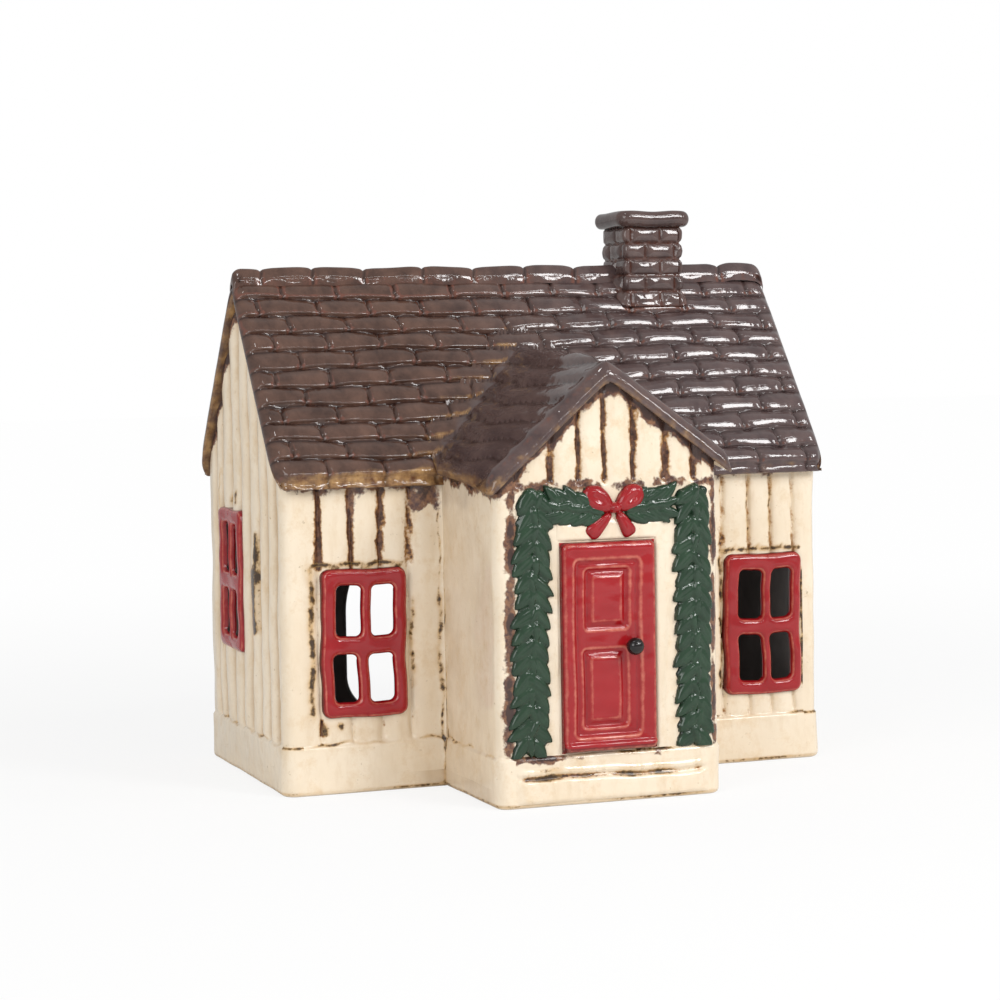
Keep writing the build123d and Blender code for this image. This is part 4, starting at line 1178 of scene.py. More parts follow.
    # cool greys the right of the front slope, partly as a painted sheen
    marks = {"edge": np.clip(rim, 0.0, 1.0), "deep": course_marks(course, t, d, soft),
             "amber": np.clip(low + runs, 0.0, 1.0),
             "cool_and_sheen": ramp(-35.0, 40.0, x) if facing < 0 else 0.5 + 0 * x}
    behind = {"amber": 0.5 + 0.25 * ramp(74.6, 75.6, np.abs(x)), "edge": 0.3 + 0 * x,
              "deep": 0 * x}
    return closed_shell(name, front, back, grid_quads(rows, x.shape[1], keep),
                        (brown,), marks, behind)


front_seed = 11
roof_slope("front_roof_slope", -1, front_seed)
roof_slope("rear_roof_slope", 1, 23)


def ridge_tiles():
    """Ridge tiles: a strip bent over the ridge, swelling between joints 14 to 17 mm apart."""
    joints = np.array([-69.1, -55.0, -40.7, -24.1, -9.6, 5.2, 20.0, 34.5, 49.5, 63.5])
    x = places(0.4 - verge_x, verge_x - 0.4, 0.8, 0.2, (*joints, -verge_x, verge_x), 1.0)
    half_width = 3.75
    t = places(-half_width, half_width, 0.5, 0.1, (-3.5, 3.5), 0.6)
    t, x = np.meshgrid(t, x, indexing="ij")
    d = nearest(x + 0.25 * np.sin(1.5 * t), joints)
    edge = np.minimum(x + verge_x, verge_x - x) - 0.4
    bulge = 0.35 * ramp(-10.0, 50.0, x)
    swell = (0.3 + bulge) * (1.0 - hump(d, 2.0)) - 0.45 * hump(d, 0.5) - 0.2
    swell = swell - 0.9 * quarter_round(edge, 2.6) + 0.2 * np.sin(0.2 * x)
    swell = swell + 0.5 * wobble(x, t, t)
    leg = 1.1 * (np.hypot(t, 0.8) - 0.5)
    skirt = 0.55 * ramp(3.3, half_width, np.abs(t) + 0.12 * np.sin(0.6 * x))
    y = ridge_y + t * cos(roof_pitch) * (1.0 + 0.04 * swell)
    z = apex_z + 0.85 - leg * sin(roof_pitch) + swell - skirt - np.exp(-(verge_x - x) / 3.0)
    front = np.stack([x, y, z], axis=-1)
    back = np.stack([x, y, z - 1.8], axis=-1)
    worn = 0.2 + 0.35 * hump(d - 0.8, 0.4) + 0.25 * ramp(3.2, 3.6, np.abs(t))
    marks = {"edge": np.clip(worn, 0, 1), "amber": 0 * x, "deep": 0.7 * hump(d, 0.35),
             "cool_and_sheen": ramp(-35.0, 40.0, x)}
    return closed_shell("ridge_tiles", front, back, grid_quads(*x.shape),
                        (brown,), marks)


ridge_tiles()


# Porch roof
def smooth_max(a, b, k):
    """The greater of a and b, lifted by h^2 k / 4 where they lie closer than k: a fillet.

    h is 1 - |a - b| / k, and 0 where they lie further apart.
    """
    h = np.maximum(k - np.abs(a - b), 0.0) / k
    return np.maximum(a, b) + h * h * k / 4


def porch_roof(name, side):
    """One slope of the porch roof: a rounded plate that runs on into the main roof.

    Its courses lie level with those of the main roof, as soft ripples. Past the valley
    the sheet has the main roof's own shingles, just below them, joined by a fillet.
    """
    eave = porch_eave_x[side]
    x = places(eave, porch_apex_x, 0.5, 0.12, (eave,), 0.7)
    rows = places(0.0, 1.0, 0.0082, 0.002, (0.0,), 0.04)
    valley = eave_y + (porch_roof_z(side, x, eave_y) - eave_z) / tan(roof_pitch) + 7.0
    v, x = np.meshgrid(rows, x, indexing="ij")
    gutter = np.abs(x - eave)
    nose = porch_nose_y + 0.7 * quarter_round(gutter, 2.6)
    y = nose + v * (valley - nose)
    rake = y - nose
    top = porch_roof_z(side, x, y)
    rise = exposure * sin(roof_pitch)
    line = (top - eave_z) / rise + 0.1 * np.sin(0.16 * y) + 0.05 * np.sin(0.45 * y + x)
    t = line - np.floor(line)
    fresh = ramp(2.5, 6.0, rake)
    press = 0.62 * ramp(0.0, 0.2, t) * (1.0 - ramp(0.35, 1.0, t)) - 0.3
    top = top + 1.6 * press * fresh - 0.1 + 0.8 * wobble(x, y, top)
    top = top + 0.6 * hump(rake - 3.0, 2.0) - 1.15 * quarter_round(rake, 2.8)
    top = top - 1.5 * quarter_round(gutter, 2.0)
    soffit = porch_eave_z[side] - porch_fascia[side] + climb(y)
    top = np.maximum(top, soffit + 0.5)
    up = (y - eave_y) / cos(roof_pitch)
    n, _ = course_relief(x, up - course_wave(x, up), -1, front_seed)
    up = up + n * tan(roof_pitch)
    n, (course, t_main, d, e, _, soft) = course_relief(x, up - course_wave(x, up), -1,
                                                       front_seed)
    main = main_roof_z(y) + (n + 0.6 * wobble(x, up, up)) / cos(roof_pitch) - 0.12
    front_z = smooth_max(top, main, 3.6)
    front_z = np.where(y < eave_y - 3.0, top, front_z)
    bottom = porch_roof_z(side, x, y) - porch_drop(side) + 0.7 * quarter_round(rake, 1.0)
    bottom = np.maximum(bottom, soffit + 0.8 * quarter_round(gutter, 1.2))
    bottom = np.minimum(bottom, front_z - 0.8)
    back_y = y + 0.25 * hump(rake, 0.3)
    front = np.stack([x, y, front_z], axis=-1)
    back = np.stack([x, back_y, bottom], axis=-1)
    own = ramp(-2.0, 1.5, top - main)
    over = porch_roof_z(side, x, y) - main_roof_z(y)
    streak = 0.42 * hump(t - 0.12, 0.12) * np.exp(-np.maximum(over, 0.0) / 12.0)
    if side > 0:
        streak = 0.3 * streak
    amber = own * streak + (1.0 - own) * valley_amber(x, over, e)
    low = 0.5 * np.exp(-gutter / 0.9) + 0.2 * np.exp(-gutter / 4.0)
    amber = amber + (low if side < 0 else 0.4 * low) + 0.42 * hump(rake, 0.9)
    # deep: painted shade in a dark band under each ripple, and under the main roof's courses
    # past the valley
    deep = own * 0.6 * ramp(0.75, 0.97, t) * fresh
    deep = deep + (1.0 - own) * course_marks(course, t_main, d, soft)
    marks = {"edge": 0.15 + 0.3 * hump(rake - 1.6, 0.8) + 0.12 * hump(t, 0.15),
             "amber": np.clip(amber, 0.0, 1.0), "deep": np.clip(deep, 0.0, 1.0),
             "cool_and_sheen": own * 0.8 + (1.0 - own) * ramp(-35.0, 40.0, x)}
    behind = {"amber": 0.62 + 0 * x, "edge": 0.3 + 0 * x, "deep": 0.1 + 0 * x}
    return closed_shell(name, front, back, grid_quads(*x.shape), (brown,),
                        marks, behind)


porch_roof("porch_roof_left", -1)
porch_roof("porch_roof_right", 1)


# Chimney
def loop_with_normals(x0, x1, y0, y1, radius, step):
    """A rounded rectangle in plan, its outward directions and distance round it."""
    lines = []
    arc = np.linspace(0.0, pi / 2, 9)
    centres = ((x1 - radius, y0 + radius, -pi / 2), (x1 - radius, y1 - radius, 0.0),
               (x0 + radius, y1 - radius, pi / 2), (x0 + radius, y0 + radius, pi))
    for number, (cx, cy, start) in enumerate(centres):
        bend = np.stack([cx + radius * np.cos(arc + start), cy + radius * np.sin(arc + start),
                         np.cos(arc + start), np.sin(arc + start)], axis=-1)
        lines.append(bend)
        nx, ny, next_start = centres[(number + 1) % 4]
        first = bend[-1]
        last = np.array([nx + radius * cos(next_start), ny + radius * sin(next_start)])
        count = max(int(np.linalg.norm(last - first[:2]) / step), 2)
        share = np.linspace(0.0, 1.0, count + 1)[1:-1, None]
        line = first[:2] + share * (last - first[:2])
        lines.append(np.hstack([line, np.tile(first[2:], (len(line), 1))]))
    loop = np.vstack(lines)
    gaps = np.linalg.norm(np.diff(loop[:, :2], axis=0), axis=1)
    return loop[:, :2], loop[:, 2:], np.concatenate([[0.0], np.cumsum(gaps)])


def chimney_stack():
    """The brick stack: a closed plan carried up, each brick a low pillow between joints.

    Near the roof it flares by 1.3 exp(-height above the roof / 0.9).
    """
    plan, out, round_at = loop_with_normals(*stack_x, *stack_y, stack_corner, 0.35)
    flue, _, _ = loop_with_normals(stack_x[0] + stack_wall, stack_x[1] - stack_wall,
                                   stack_y[0] + stack_wall, stack_y[1] - stack_wall, 1.0, 0.35)
    far = np.linspace(0.0, 1.0, len(plan))
    flue = np.stack([np.interp(far, np.linspace(0, 1, len(flue)), flue[:, k])
                     for k in (0, 1)], axis=-1)
    z = places(stack_foot, cap_z[0] + 0.4, 0.35, 0.3, (), 1.0)[:, None]
    brick_high, brick_long, joint = 4.4, 8.7, 0.6
    row = np.floor((cap_z[0] - z) / brick_high)
    into = (cap_z[0] - z) / brick_high - row
    bed = np.minimum(into, 1.0 - into) * brick_high
    turn = (round_at[None, :] + brick_long / 2 * (row % 2)) / brick_long
    head = np.abs(turn - np.round(turn)) * brick_long
    joint_depth = 0.6 * np.maximum(hump(bed, joint * 0.75), hump(head, joint * 0.75))
    above = z - main_roof_z(plan[:, 1])[None, :]
    flare = 1.3 * np.exp(-np.maximum(above, 0.0) / 0.9)
    round_off = 0.45 * np.maximum(hump(bed, 1.6), hump(head, 1.8))
    uneven_clay = 0.6 * wobble(2 * round_at, 3 * round_at, 3 * z)
    relief = 0.4 - joint_depth - round_off + flare + uneven_clay
    front = np.stack([plan[:, 0] + out[:, 0] * relief, plan[:, 1] + out[:, 1] * relief,
                      z + 0 * relief], axis=-1)
    back = np.stack([flue[:, 0] + 0 * relief, flue[:, 1] + 0 * relief, z + 0 * relief], axis=-1)
    marks = {"edge": np.clip(0.3 + 0.7 * joint_depth + 0.15 * np.exp(-np.abs(above) / 2), 0, 1),
             "amber": 0.2 * np.exp(-np.abs(above) / 1.5), "cool_and_sheen": 0.7 + 0 * above,
             "deep": 0.8 * joint_depth}
    return closed_shell("chimney_stack", front, back,
                        grid_quads(len(z), len(plan), wrap=True),
                        (brown, liner), marks)


chimney_stack()


def chimney_cap():
    """The cap: a rolled section carried round the top of the stack, closed on itself.

    The section is half an ellipse outside, a flat top, the flue's side and a flat foot.
    """
    plan, out, _ = loop_with_normals(*stack_x, *stack_y, stack_corner, 0.8)
    low, high = cap_z
    a = np.linspace(-pi / 2, pi / 2, 13)
    roll, half_height = 1.75, 2.15
    inside = -stack_wall
    rest = np.array([[-0.5, high], [-2.0, high - 0.05], [inside + 0.3, high - 0.25],
                     [inside, high - 0.6], [inside, low + 0.8], [inside + 0.4, low],
                     [-1.5, low]])
    offset = np.concatenate([cap_reach - roll + roll * np.cos(a), rest[:, 0]])
    z = np.concatenate([(low + high) / 2 + half_height * np.sin(a), rest[:, 1]])
    x = plan[:, 0] + out[:, 0] * offset[:, None]
    y = plan[:, 1] + out[:, 1] * offset[:, None]
    z = z[:, None] + 0.15 * np.sin(0.5 * plan[:, 0] + 0.3 * plan[:, 1])
    points = np.stack([x, y, z + 0 * x], axis=-1)
    # One row more than there are, whose corners count again from the first
    quads = grid_quads(len(x) + 1, x.shape[1], wrap=True) % x.size
    marks = {"edge": 0.15 + 0.25 * np.abs(np.sin(0.9 * x + 1.3 * y)), "amber": 0 * x,
             "cool_and_sheen": 0.7 + 0 * x, "deep": 0.15 + 0 * x}
    return make_piece("chimney_cap", points, quads, "house", (brown,),
                      marks=marks)


chimney_cap()


# Windows
def window(name, frame_box, panes, place):
    """A two by two window: rings from each pane out to its quarter of the frame.

    The face stands proud of the wall, and falls by a quarter round to the wall at
    the outer edge and to each pane, whose sides run back through the wall and have
    the liner's glaze.
    """
    corner_radius, proud = 2.4, 1.55
    x0, x1, z0, z1 = frame_box
    mid_x = (panes[0][1] + panes[1][0]) / 2
    mid_z = (panes[0][2] + panes[2][3]) / 2
    quarters = ((x0, mid_x, mid_z, z1), (mid_x, x1, mid_z, z1),
                (x0, mid_x, z0, mid_z), (mid_x, x1, z0, mid_z))
    radii = ((0, 0, 0, corner_radius), (0, 0, corner_radius, 0),
             (corner_radius, 0, 0, 0), (0, corner_radius, 0, 0))
    count, rings = 26, 15
    t = np.linspace(0.0, 1.0, rings + 1)[:, None, None]
    points, behind, quads = [], [], []
    for number, pane in enumerate(panes):
        inner = box_loop(pane, (1.3, 1.5, 1.2, 1.5), count)
        outer = box_loop(quarters[number], radii[number], count)
        quads.append(grid_quads(rings + 1, 4 * count, wrap=True)
                     + number * (rings + 1) * 4 * count)
        points.append((inner + (outer - inner) * t).reshape(-1, 2))
        behind.append((inner + (outer - inner) * (0.72 + 0.28 * t)).reshape(-1, 2))
    points = np.vstack(points)
    quads = np.vstack(quads)
    _, first, where = np.unique(np.round(points, 4), axis=0,
                                return_index=True, return_inverse=True)
    points, quads = points[first], where.ravel()[quads]
    behind = np.vstack(behind)[first]
    x, z = points.T
    to_frame = -rounded_distance(x, z, frame_box, corner_radius)
    to_pane = np.min([rounded_distance(x, z, pane, 1.4) for pane in panes], axis=0)
    to_frame, to_pane = np.maximum(to_frame, 0.0), np.maximum(to_pane, 0.0)
    out = proud - quarter_round(to_frame, 1.8) - quarter_round(to_pane, 1.6)
    out = out + 0.1 * np.sin(0.5 * x + 0.4 * z) + 0.05 * np.sin(0.9 * z)
    # Pink on the edges is thin glaze and painted highlight, and dark red at the frame's foot
    # and round each pane is pooled glaze and painted shade
    sharp = np.maximum(hump(to_frame - 0.7, 0.3), hump(to_pane - 0.55, 0.35))
    deep = np.maximum(0.9 * hump(to_frame, 0.4), 0.6 * hump(to_pane, 0.3))
    marks = {"edge": 0.12 + 0.62 * sharp, "pool": deep}
    depth = -wall + 2.9 * ramp(3.4, 5.0, to_frame)

    def hand_cut(x, z):
        """The slow waves of bars cut by hand."""
        return (x + 0.22 * np.sin(0.21 * z + x0) + 0.1 * np.sin(0.5 * z),
                z + 0.15 * np.sin(0.35 * x + x0))

    front = place(*hand_cut(x, z), out)
    back = place(*hand_cut(*behind.T), depth)
    piece = closed_shell(name, front, back, quads, (red, liner), marks)
    faces = piece.data.polygons
    skins = np.zeros(len(faces), np.int32)
    faces.foreach_get("material_index", skins)
    spots = np.zeros(len(faces) * 3)
    faces.foreach_get("center", spots)
    rim = slice(2 * len(quads), None)
    spots = spots.reshape(-1, 3)[rim] / mm
    level = spots[:, 0] if place is on_front else -spots[:, 1]
    skins[rim] = -rounded_distance(level, spots[:, 2], frame_box, corner_radius) > 0.8
    faces.foreach_set("material_index", skins)


def on_front(x, z, out):
    """A point on the long front wall, out mm proud of it."""
    return np.stack([x, front_y - out, z], axis=-1)


def on_gable(x, z, out):
    """A point on the left end wall, where x counts depth from back to front."""
    return np.stack([-side_x - out, -x, z], axis=-1)


window("front_left_window", (-65.3, -42.5, 19.3, 57.5),
       ((-61.4, -54.9, 40.2, 53.1), (-52.1, -46.2, 40.3, 53.2),
        (-61.9, -55.7, 23.3, 35.5), (-52.5, -46.1, 23.4, 35.6)), on_front)
window("front_right_window", (47.0, 69.8, 18.2, 56.4),
       ((51.3, 58.0, 38.9, 51.9), (60.8, 66.5, 38.9, 52.0),
        (51.3, 58.0, 22.1, 34.5), (60.6, 66.4, 22.2, 34.6)), on_front)
window("gable_window", (-42.3, -19.5, 32.6, 70.8),
       ((-38.2, -32.0, 53.5, 66.5), (-29.3, -23.6, 53.6, 66.5),
        (-38.2, -32.2, 36.6, 48.7), (-29.5, -23.6, 36.7, 48.8)), on_gable)


# Reliefs on the porch front
def porch_relief(name, x, z, out, sunk, keep, skin, marks):
    """A relief that stands out mm from the porch front over (x, z), with a flat back.

    The back lies sunk mm inside the wall, and the cells that keep leaves out are open.
    """
    front = np.stack([x, porch_y - out, z], axis=-1)
    back = np.stack([x, np.full_like(x, porch_y + sunk), z], axis=-1)
    return closed_shell(name, front, back, grid_quads(*x.shape, keep), (skin,), marks)


def door_leaf():
    """The door: stiles and rails round a sunk field with two raised panels.

    Each step is a smooth ramp of the distance inside a rounded rectangle, with a low
    bead beside it. A kick board stands out along the foot.
    """
    x0, x1, z0, z1 = -15.9, 9.3, 13.0, 65.1
    field_box = (-12.4, 4.5, 17.1, 60.4)
    upper_box = (-9.5, 1.9, 43.5, 58.3)
    lower_box = (-10.2, 1.2, 19.2, 38.3)
    # The grid is close at the edges of the leaf, the field and the panels
    fine_x = (x0, x1, -12.3, 4.4, -9.5, 1.6)
    fine_z = (z0, z1, 17.0, 60.3, 43.6, 58.3, 19.2, 38.3, 16.0)
    x = places(x0, x1, 0.5, 0.16, fine_x, 0.7)
    z = places(z0, z1, 0.6, 0.16, fine_z, 0.7)
    z, x = np.meshgrid(z, x, indexing="ij")
    bend_x = x + 0.15 * np.sin(0.17 * z)
    leaf = -rounded_distance(x, z, (x0, x1, z0, z1), 1.8)
    field = -rounded_distance(bend_x, z, field_box, 1.2)
    panel = np.maximum(-rounded_distance(bend_x, z, upper_box, 1.0),
                       -rounded_distance(bend_x, z, lower_box, 1.0))
    out = 1.95 - 1.2 * quarter_round(np.maximum(leaf, 0.0), 1.2)
    out = out + 0.35 * hump(leaf - 1.8, 1.3) * (field < 0.4)
    out = out - 0.85 * ramp(-0.7, 0.7, field) + 0.35 * hump(field - 1.6, 0.9) * (panel < 0.2)
    out = out - 0.5 * ramp(-0.6, 0.5, panel) + 0.85 * ramp(0.6, 2.1, panel)
    kick = ramp(z0, z0 + 0.5, z) * (1.0 - ramp(z0 + 2.0, z0 + 2.8, z))
    out = out + 0.6 * kick
    out = out + 0.07 * np.sin(0.6 * x + 0.31 * z) + 0.03 * np.sin(1.3 * z)
    # Light lines on the steps are thin glaze and painted highlight; pool is painted shade at
    # the foot of each step, round the leaf and along the kick board's foot
    lines = np.maximum.reduce([hump(field + 0.6, 0.7), hump(panel + 0.5, 0.6),
                               0.9 * hump(panel - 2.0, 0.6), 0.9 * hump(leaf - 0.8, 0.6)])
    pool = 0.5 * hump(field - 0.7, 0.5) + 0.5 * hump(panel - 0.7, 0.5)
    pool = pool + 0.8 * hump(leaf, 0.35) + 0.7 * kick * (z < z0 + 1.4)
    marks = {"edge": 0.12 + 0.62 * lines, "pool": np.clip(pool, 0, 1)}
    return porch_relief("door_leaf", x, z, out, 0.5, None, red, marks)


def door_surround():
    """The cream frame round the door: two posts and a lintel with rounded edges.

    It reaches from x0 to x1 and up to top, round a door from left to right up to head.
    """
    x0, x1, top = -18.25, 13.75, 71.95
    left, right, head = -16.05, 9.45, 65.25
    x = np.concatenate([np.linspace(x0, left, 9)[:-1], np.linspace(left, right, 30)[:-1],
                        np.linspace(right, x1, 14)])
    z = np.concatenate([places(13.0, head, 1.2, 0.3, (head,), 1.0)[:-1],
                        np.linspace(head, top, 20)])
    z, x = np.meshgrid(z, x, indexing="ij")
    outer = np.minimum(np.minimum(x - x0, x1 - x), top - z)
    outer = outer + 0.2 * np.sin(0.3 * z + 0.2 * x) - 0.1
    inner = np.maximum(np.maximum(left - x, x - right), z - head)
    out = 1.05 * ramp(-0.4, 3.4, outer) - 0.9 * quarter_round(np.maximum(inner, 0.0), 1.0)
    out = out - 0.35 + 0.5 * wobble(x, 0 * x, z)
    middle_x = (x[:-1, 1:] + x[:-1, :-1]) / 2
    middle_z = (z[1:, :-1] + z[:-1, :-1]) / 2
    keep = ~((middle_x > left) & (middle_x < right) & (middle_z < head))
    # Brown at the inner edge by the door: pooled glaze and a painted shadow line
    marks = {"pool": 0.45 * hump(inner, 0.3), "stain": 0.25 * hump(inner, 0.5), "shade": 0 * x,
             "spill": 0 * x}
    return porch_relief("door_surround", x, z, out, 0.5, keep, cream, marks)


door_leaf()
door_surround()

knob_at = (2.4, porch_y, 39.05)
knob = np.array([[1.15, 0.8], [1.15, 2.0], [1.35, 2.5], [1.75, 2.9], [2.05, 3.4],
                 [2.2, 4.0], [2.15, 4.6], [1.95, 5.1], [1.6, 5.6], [1.15, 5.95],
                 [0.6, 6.15], [0.15, 6.2]])
turned_piece("door_knob", knob, 40, knob_at, "house", black, axis="y")


def leaf(x, z, at_x, at_z, angle, length, width, height):
    """A leaf blade in relief: height x sqrt(1 - u^4 - v^2), with a fine midrib furrow.

    u runs along the blade and v across it, which narrows towards the tip, and the
    blade slants down by 0.14 u. The second result runs from 0 in the middle to 1 at
    the blade's edge.
    """
    u = ((x - at_x) * cos(angle) + (z - at_z) * sin(angle)) / length
    v = (-(x - at_x) * sin(angle) + (z - at_z) * cos(angle)) / width
    v = v / np.clip(1.05 - 0.7 * np.maximum(u, 0.0) ** 1.5, 0.25, 2.0)
    body = 1.0 - u ** 4 - v ** 2
    blade = height * np.sqrt(np.maximum(body, 0.0)) - 0.12 * hump(v, 0.16)
    return np.where(body > 0.0, blade - 0.14 * u, -1.0), np.where(body > 0, 1 - body, 1.0)


def touches(out):
    """The cells of a grid with a corner where something stands."""
    high = out > nowhere + 0.1
    return high[1:, 1:] | high[1:, :-1] | high[:-1, 1:] | high[:-1, :-1]


def leaf_sheet(name, box, leaves, bed=None):
    """A garland: on a fine grid the highest of all its leaf blades, left out where none is."""
    x = np.arange(box[0], box[1] + relief_step / 2, relief_step)
    z = np.arange(box[2], box[3] + relief_step / 2, relief_step)
    z, x = np.meshgrid(z, x, indexing="ij")
    out = np.full(x.shape, nowhere)
    rim = np.ones(x.shape)
    if bed is not None:
        cushion = bed(x, z)
        out = np.maximum(out, cushion)
        rim = np.where(cushion > nowhere + 0.3, 0.3, rim)
    for at_x, at_z, angle, length, width, height in leaves:
        blade, edge = leaf(x, z, at_x, at_z, angle, length, width, height)
        blade = np.where(blade > -0.9, blade + 0.2, nowhere)
        higher = blade > out
        out = np.where(higher, blade, out)
        rim = np.where(higher, edge, rim)
    marks = {"edge": ramp(0.6, 1.0, rim), "pool": 1.0 - ramp(0.1, 0.95, out)}
    return porch_relief(name, x, z, out, 2.2, touches(out), green, marks)


def column_leaves(foot, head, low, high, seed, left_lean, right_lean):
    """Blades that droop out from the stem to both sides, with small ones down the middle.

    The stem runs from x = foot to x = head, and the blades stand prouder towards its
    head. left_lean and right_lean are their slants in degrees.
    """
    dice = np.random.default_rng(seed)
    leaves = []
    spacing = 3.9
    count = int((high - low) / spacing)
    for number in range(count):
        share = number / (count - 1)
        z = low + 3.2 + share * (high - low - 3.8)
        stem = foot + (head - foot) * share
        grow = 0.25 * share
        for side, lean in ((-1, left_lean), (1, right_lean)):
            turn = radians(270 + side * (90 - lean + dice.uniform(-14, 14)))
            x = stem + side * 2.3 + dice.uniform(-0.4, 0.4)
            drop = 2.2 * tan(radians(lean)) * 0.55 + dice.uniform(-0.6, 0.6)
            leaves.append((x, z - drop, turn, 4.0 + dice.uniform(-0.7, 0.7),
                           1.85 + dice.uniform(-0.3, 0.4),
                           1.15 + grow + dice.uniform(-0.28, 0.28)))
        leaves.append((stem + dice.uniform(-0.9, 0.9), z - 0.8,
                       radians(270 + dice.uniform(-28, 28)), 2.9, 1.15,
                       1.45 + grow + dice.uniform(-0.2, 0.2)))
    return leaves


def swag_leaves(x0, z0, x1, z1, count, seed):
    """Leaves along a line from the bow to the top of a column, their tips pointing out."""
    dice = np.random.default_rng(seed)
    leaves = []
    way = atan2(z1 - z0, x1 - x0)
    for number in range(count):
        t = (number + 0.5) / count
        x, z = x0 + (x1 - x0) * t, z0 + (z1 - z0) * t
        for side in (-1, 1):
            lean = way + side * radians(32 + dice.uniform(-14, 14))
            leaves.append((x - side * sin(way) * 2.6, z + side * cos(way) * 2.6, lean,
                           3.6 + dice.uniform(-0.5, 0.5), 1.45, 1.2 + dice.uniform(-0.3, 0.3)))
        leaves.append((x, z, way + dice.uniform(-0.35, 0.35), 3.2, 1.25, 1.45))
    return leaves


def column_bed(foot, head, half, low, high):
    """The soft cushion of clay under a column's leaves, with a ragged edge of sines."""
    def at(x, z):
        """How far the cushion stands out at x and z."""
        stem = foot + (head - foot) * (z - low) / (high - low)
        d = -rounded_distance(x - stem, z, (-half, half, low, high), 2.0)
        side = np.sign(x - stem)
        d = d + 0.4 * np.sin(1.55 * z + 1.3 * side + np.sin(0.37 * z)) - 0.2
        return np.where(d > 0, 0.7 - quarter_round(d, 1.4), nowhere)
    return at


leaf_sheet("garland_left", (-31.0, -17.2, 12.6, 80.6),
           column_leaves(-24.2, -22.4, 13.0, 77.0, 3, 42, 52),
           bed=column_bed(-24.2, -22.4, 4.7, 13.0, 78.0))
leaf_sheet("garland_right", (12.4, 26.9, 12.6, 80.0),
           column_leaves(20.2, 19.8, 13.0, 77.2, 4, 40, 62),
           bed=column_bed(20.0, 19.7, 4.8, 13.0, 78.0))
leaf_sheet("garland_left_swag", (-22.0, -3.2, 67.5, 80.6),
           swag_leaves(-5.5, 72.6, -19.5, 74.6, 5, 5))
leaf_sheet("garland_right_swag", (1.5, 17.0, 67.5, 80.6),
           swag_leaves(3.2, 73.0, 15.0, 74.2, 4, 6))


def bow():
    """The bow: two loops with a dented eye, a knot and two tails, the highest of each.

    Each is height x sqrt(1 - u^2 - v^2), and a tail has |u|^3 and |v|^3 instead.
    """
    x = np.arange(-10.0, 7.3, 0.2)
    z = np.arange(65.0, 79.6, 0.2)
    z, x = np.meshgrid(z, x, indexing="ij")
    out = np.full(x.shape, nowhere)
    rim = np.ones(x.shape)
    parts = (("tail", -5.2, 69.2, radians(223), 4.2, 2.6, 1.7),
             ("tail", 1.4, 69.3, radians(300), 3.7, 2.5, 1.7),
             ("loop", -5.5, 75.3, radians(146), 4.5, 3.3, 2.2),
             ("loop", 2.9, 75.4, radians(36), 4.3, 3.1, 2.2),
             ("knot", -1.3, 73.3, 0.0, 1.9, 1.5, 2.6))
    for kind, cx, cz, angle, length, width, height in parts:
        u = ((x - cx) * cos(angle) + (z - cz) * sin(angle)) / length
        v = (-(x - cx) * sin(angle) + (z - cz) * cos(angle)) / width
        if kind == "loop":
            v = v / np.clip(0.75 + 0.2 * (u + 1.0), 0.3, 1.0)
        if kind == "tail":
            v = v / (0.68 + 0.32 * u)
            body = 1.0 - np.abs(u) ** 3 - np.abs(v) ** 3
        else:
            body = 1.0 - u * u - v * v
        lump = height * np.sqrt(np.maximum(body, 0.0) + 1e-9)
        if kind == "loop":
            lump = lump - 0.7 * hump(np.hypot(u - 0.1, v * 1.3), 0.4)
        if kind == "tail":
            lump = lump - 0.12 * hump(v, 0.3)
        lump = np.where(body > 0, lump + 0.2, nowhere)
        higher = lump > out
        out = np.where(higher, lump, out)
        rim = np.where(higher, 1.0 - body, rim)
    # pool darkens the whole bow, and more at the foot of each lump as painted shade; pink edges
    # are thin glaze and painted highlight
    marks = {"edge": 0.1 + 0.36 * ramp(0.62, 0.9, rim),
             "pool": 0.42 + 0.45 * ramp(0.93, 1.0, rim)}
    return porch_relief("bow", x, z, out, 2.2, touches(out), red, marks)


bow()


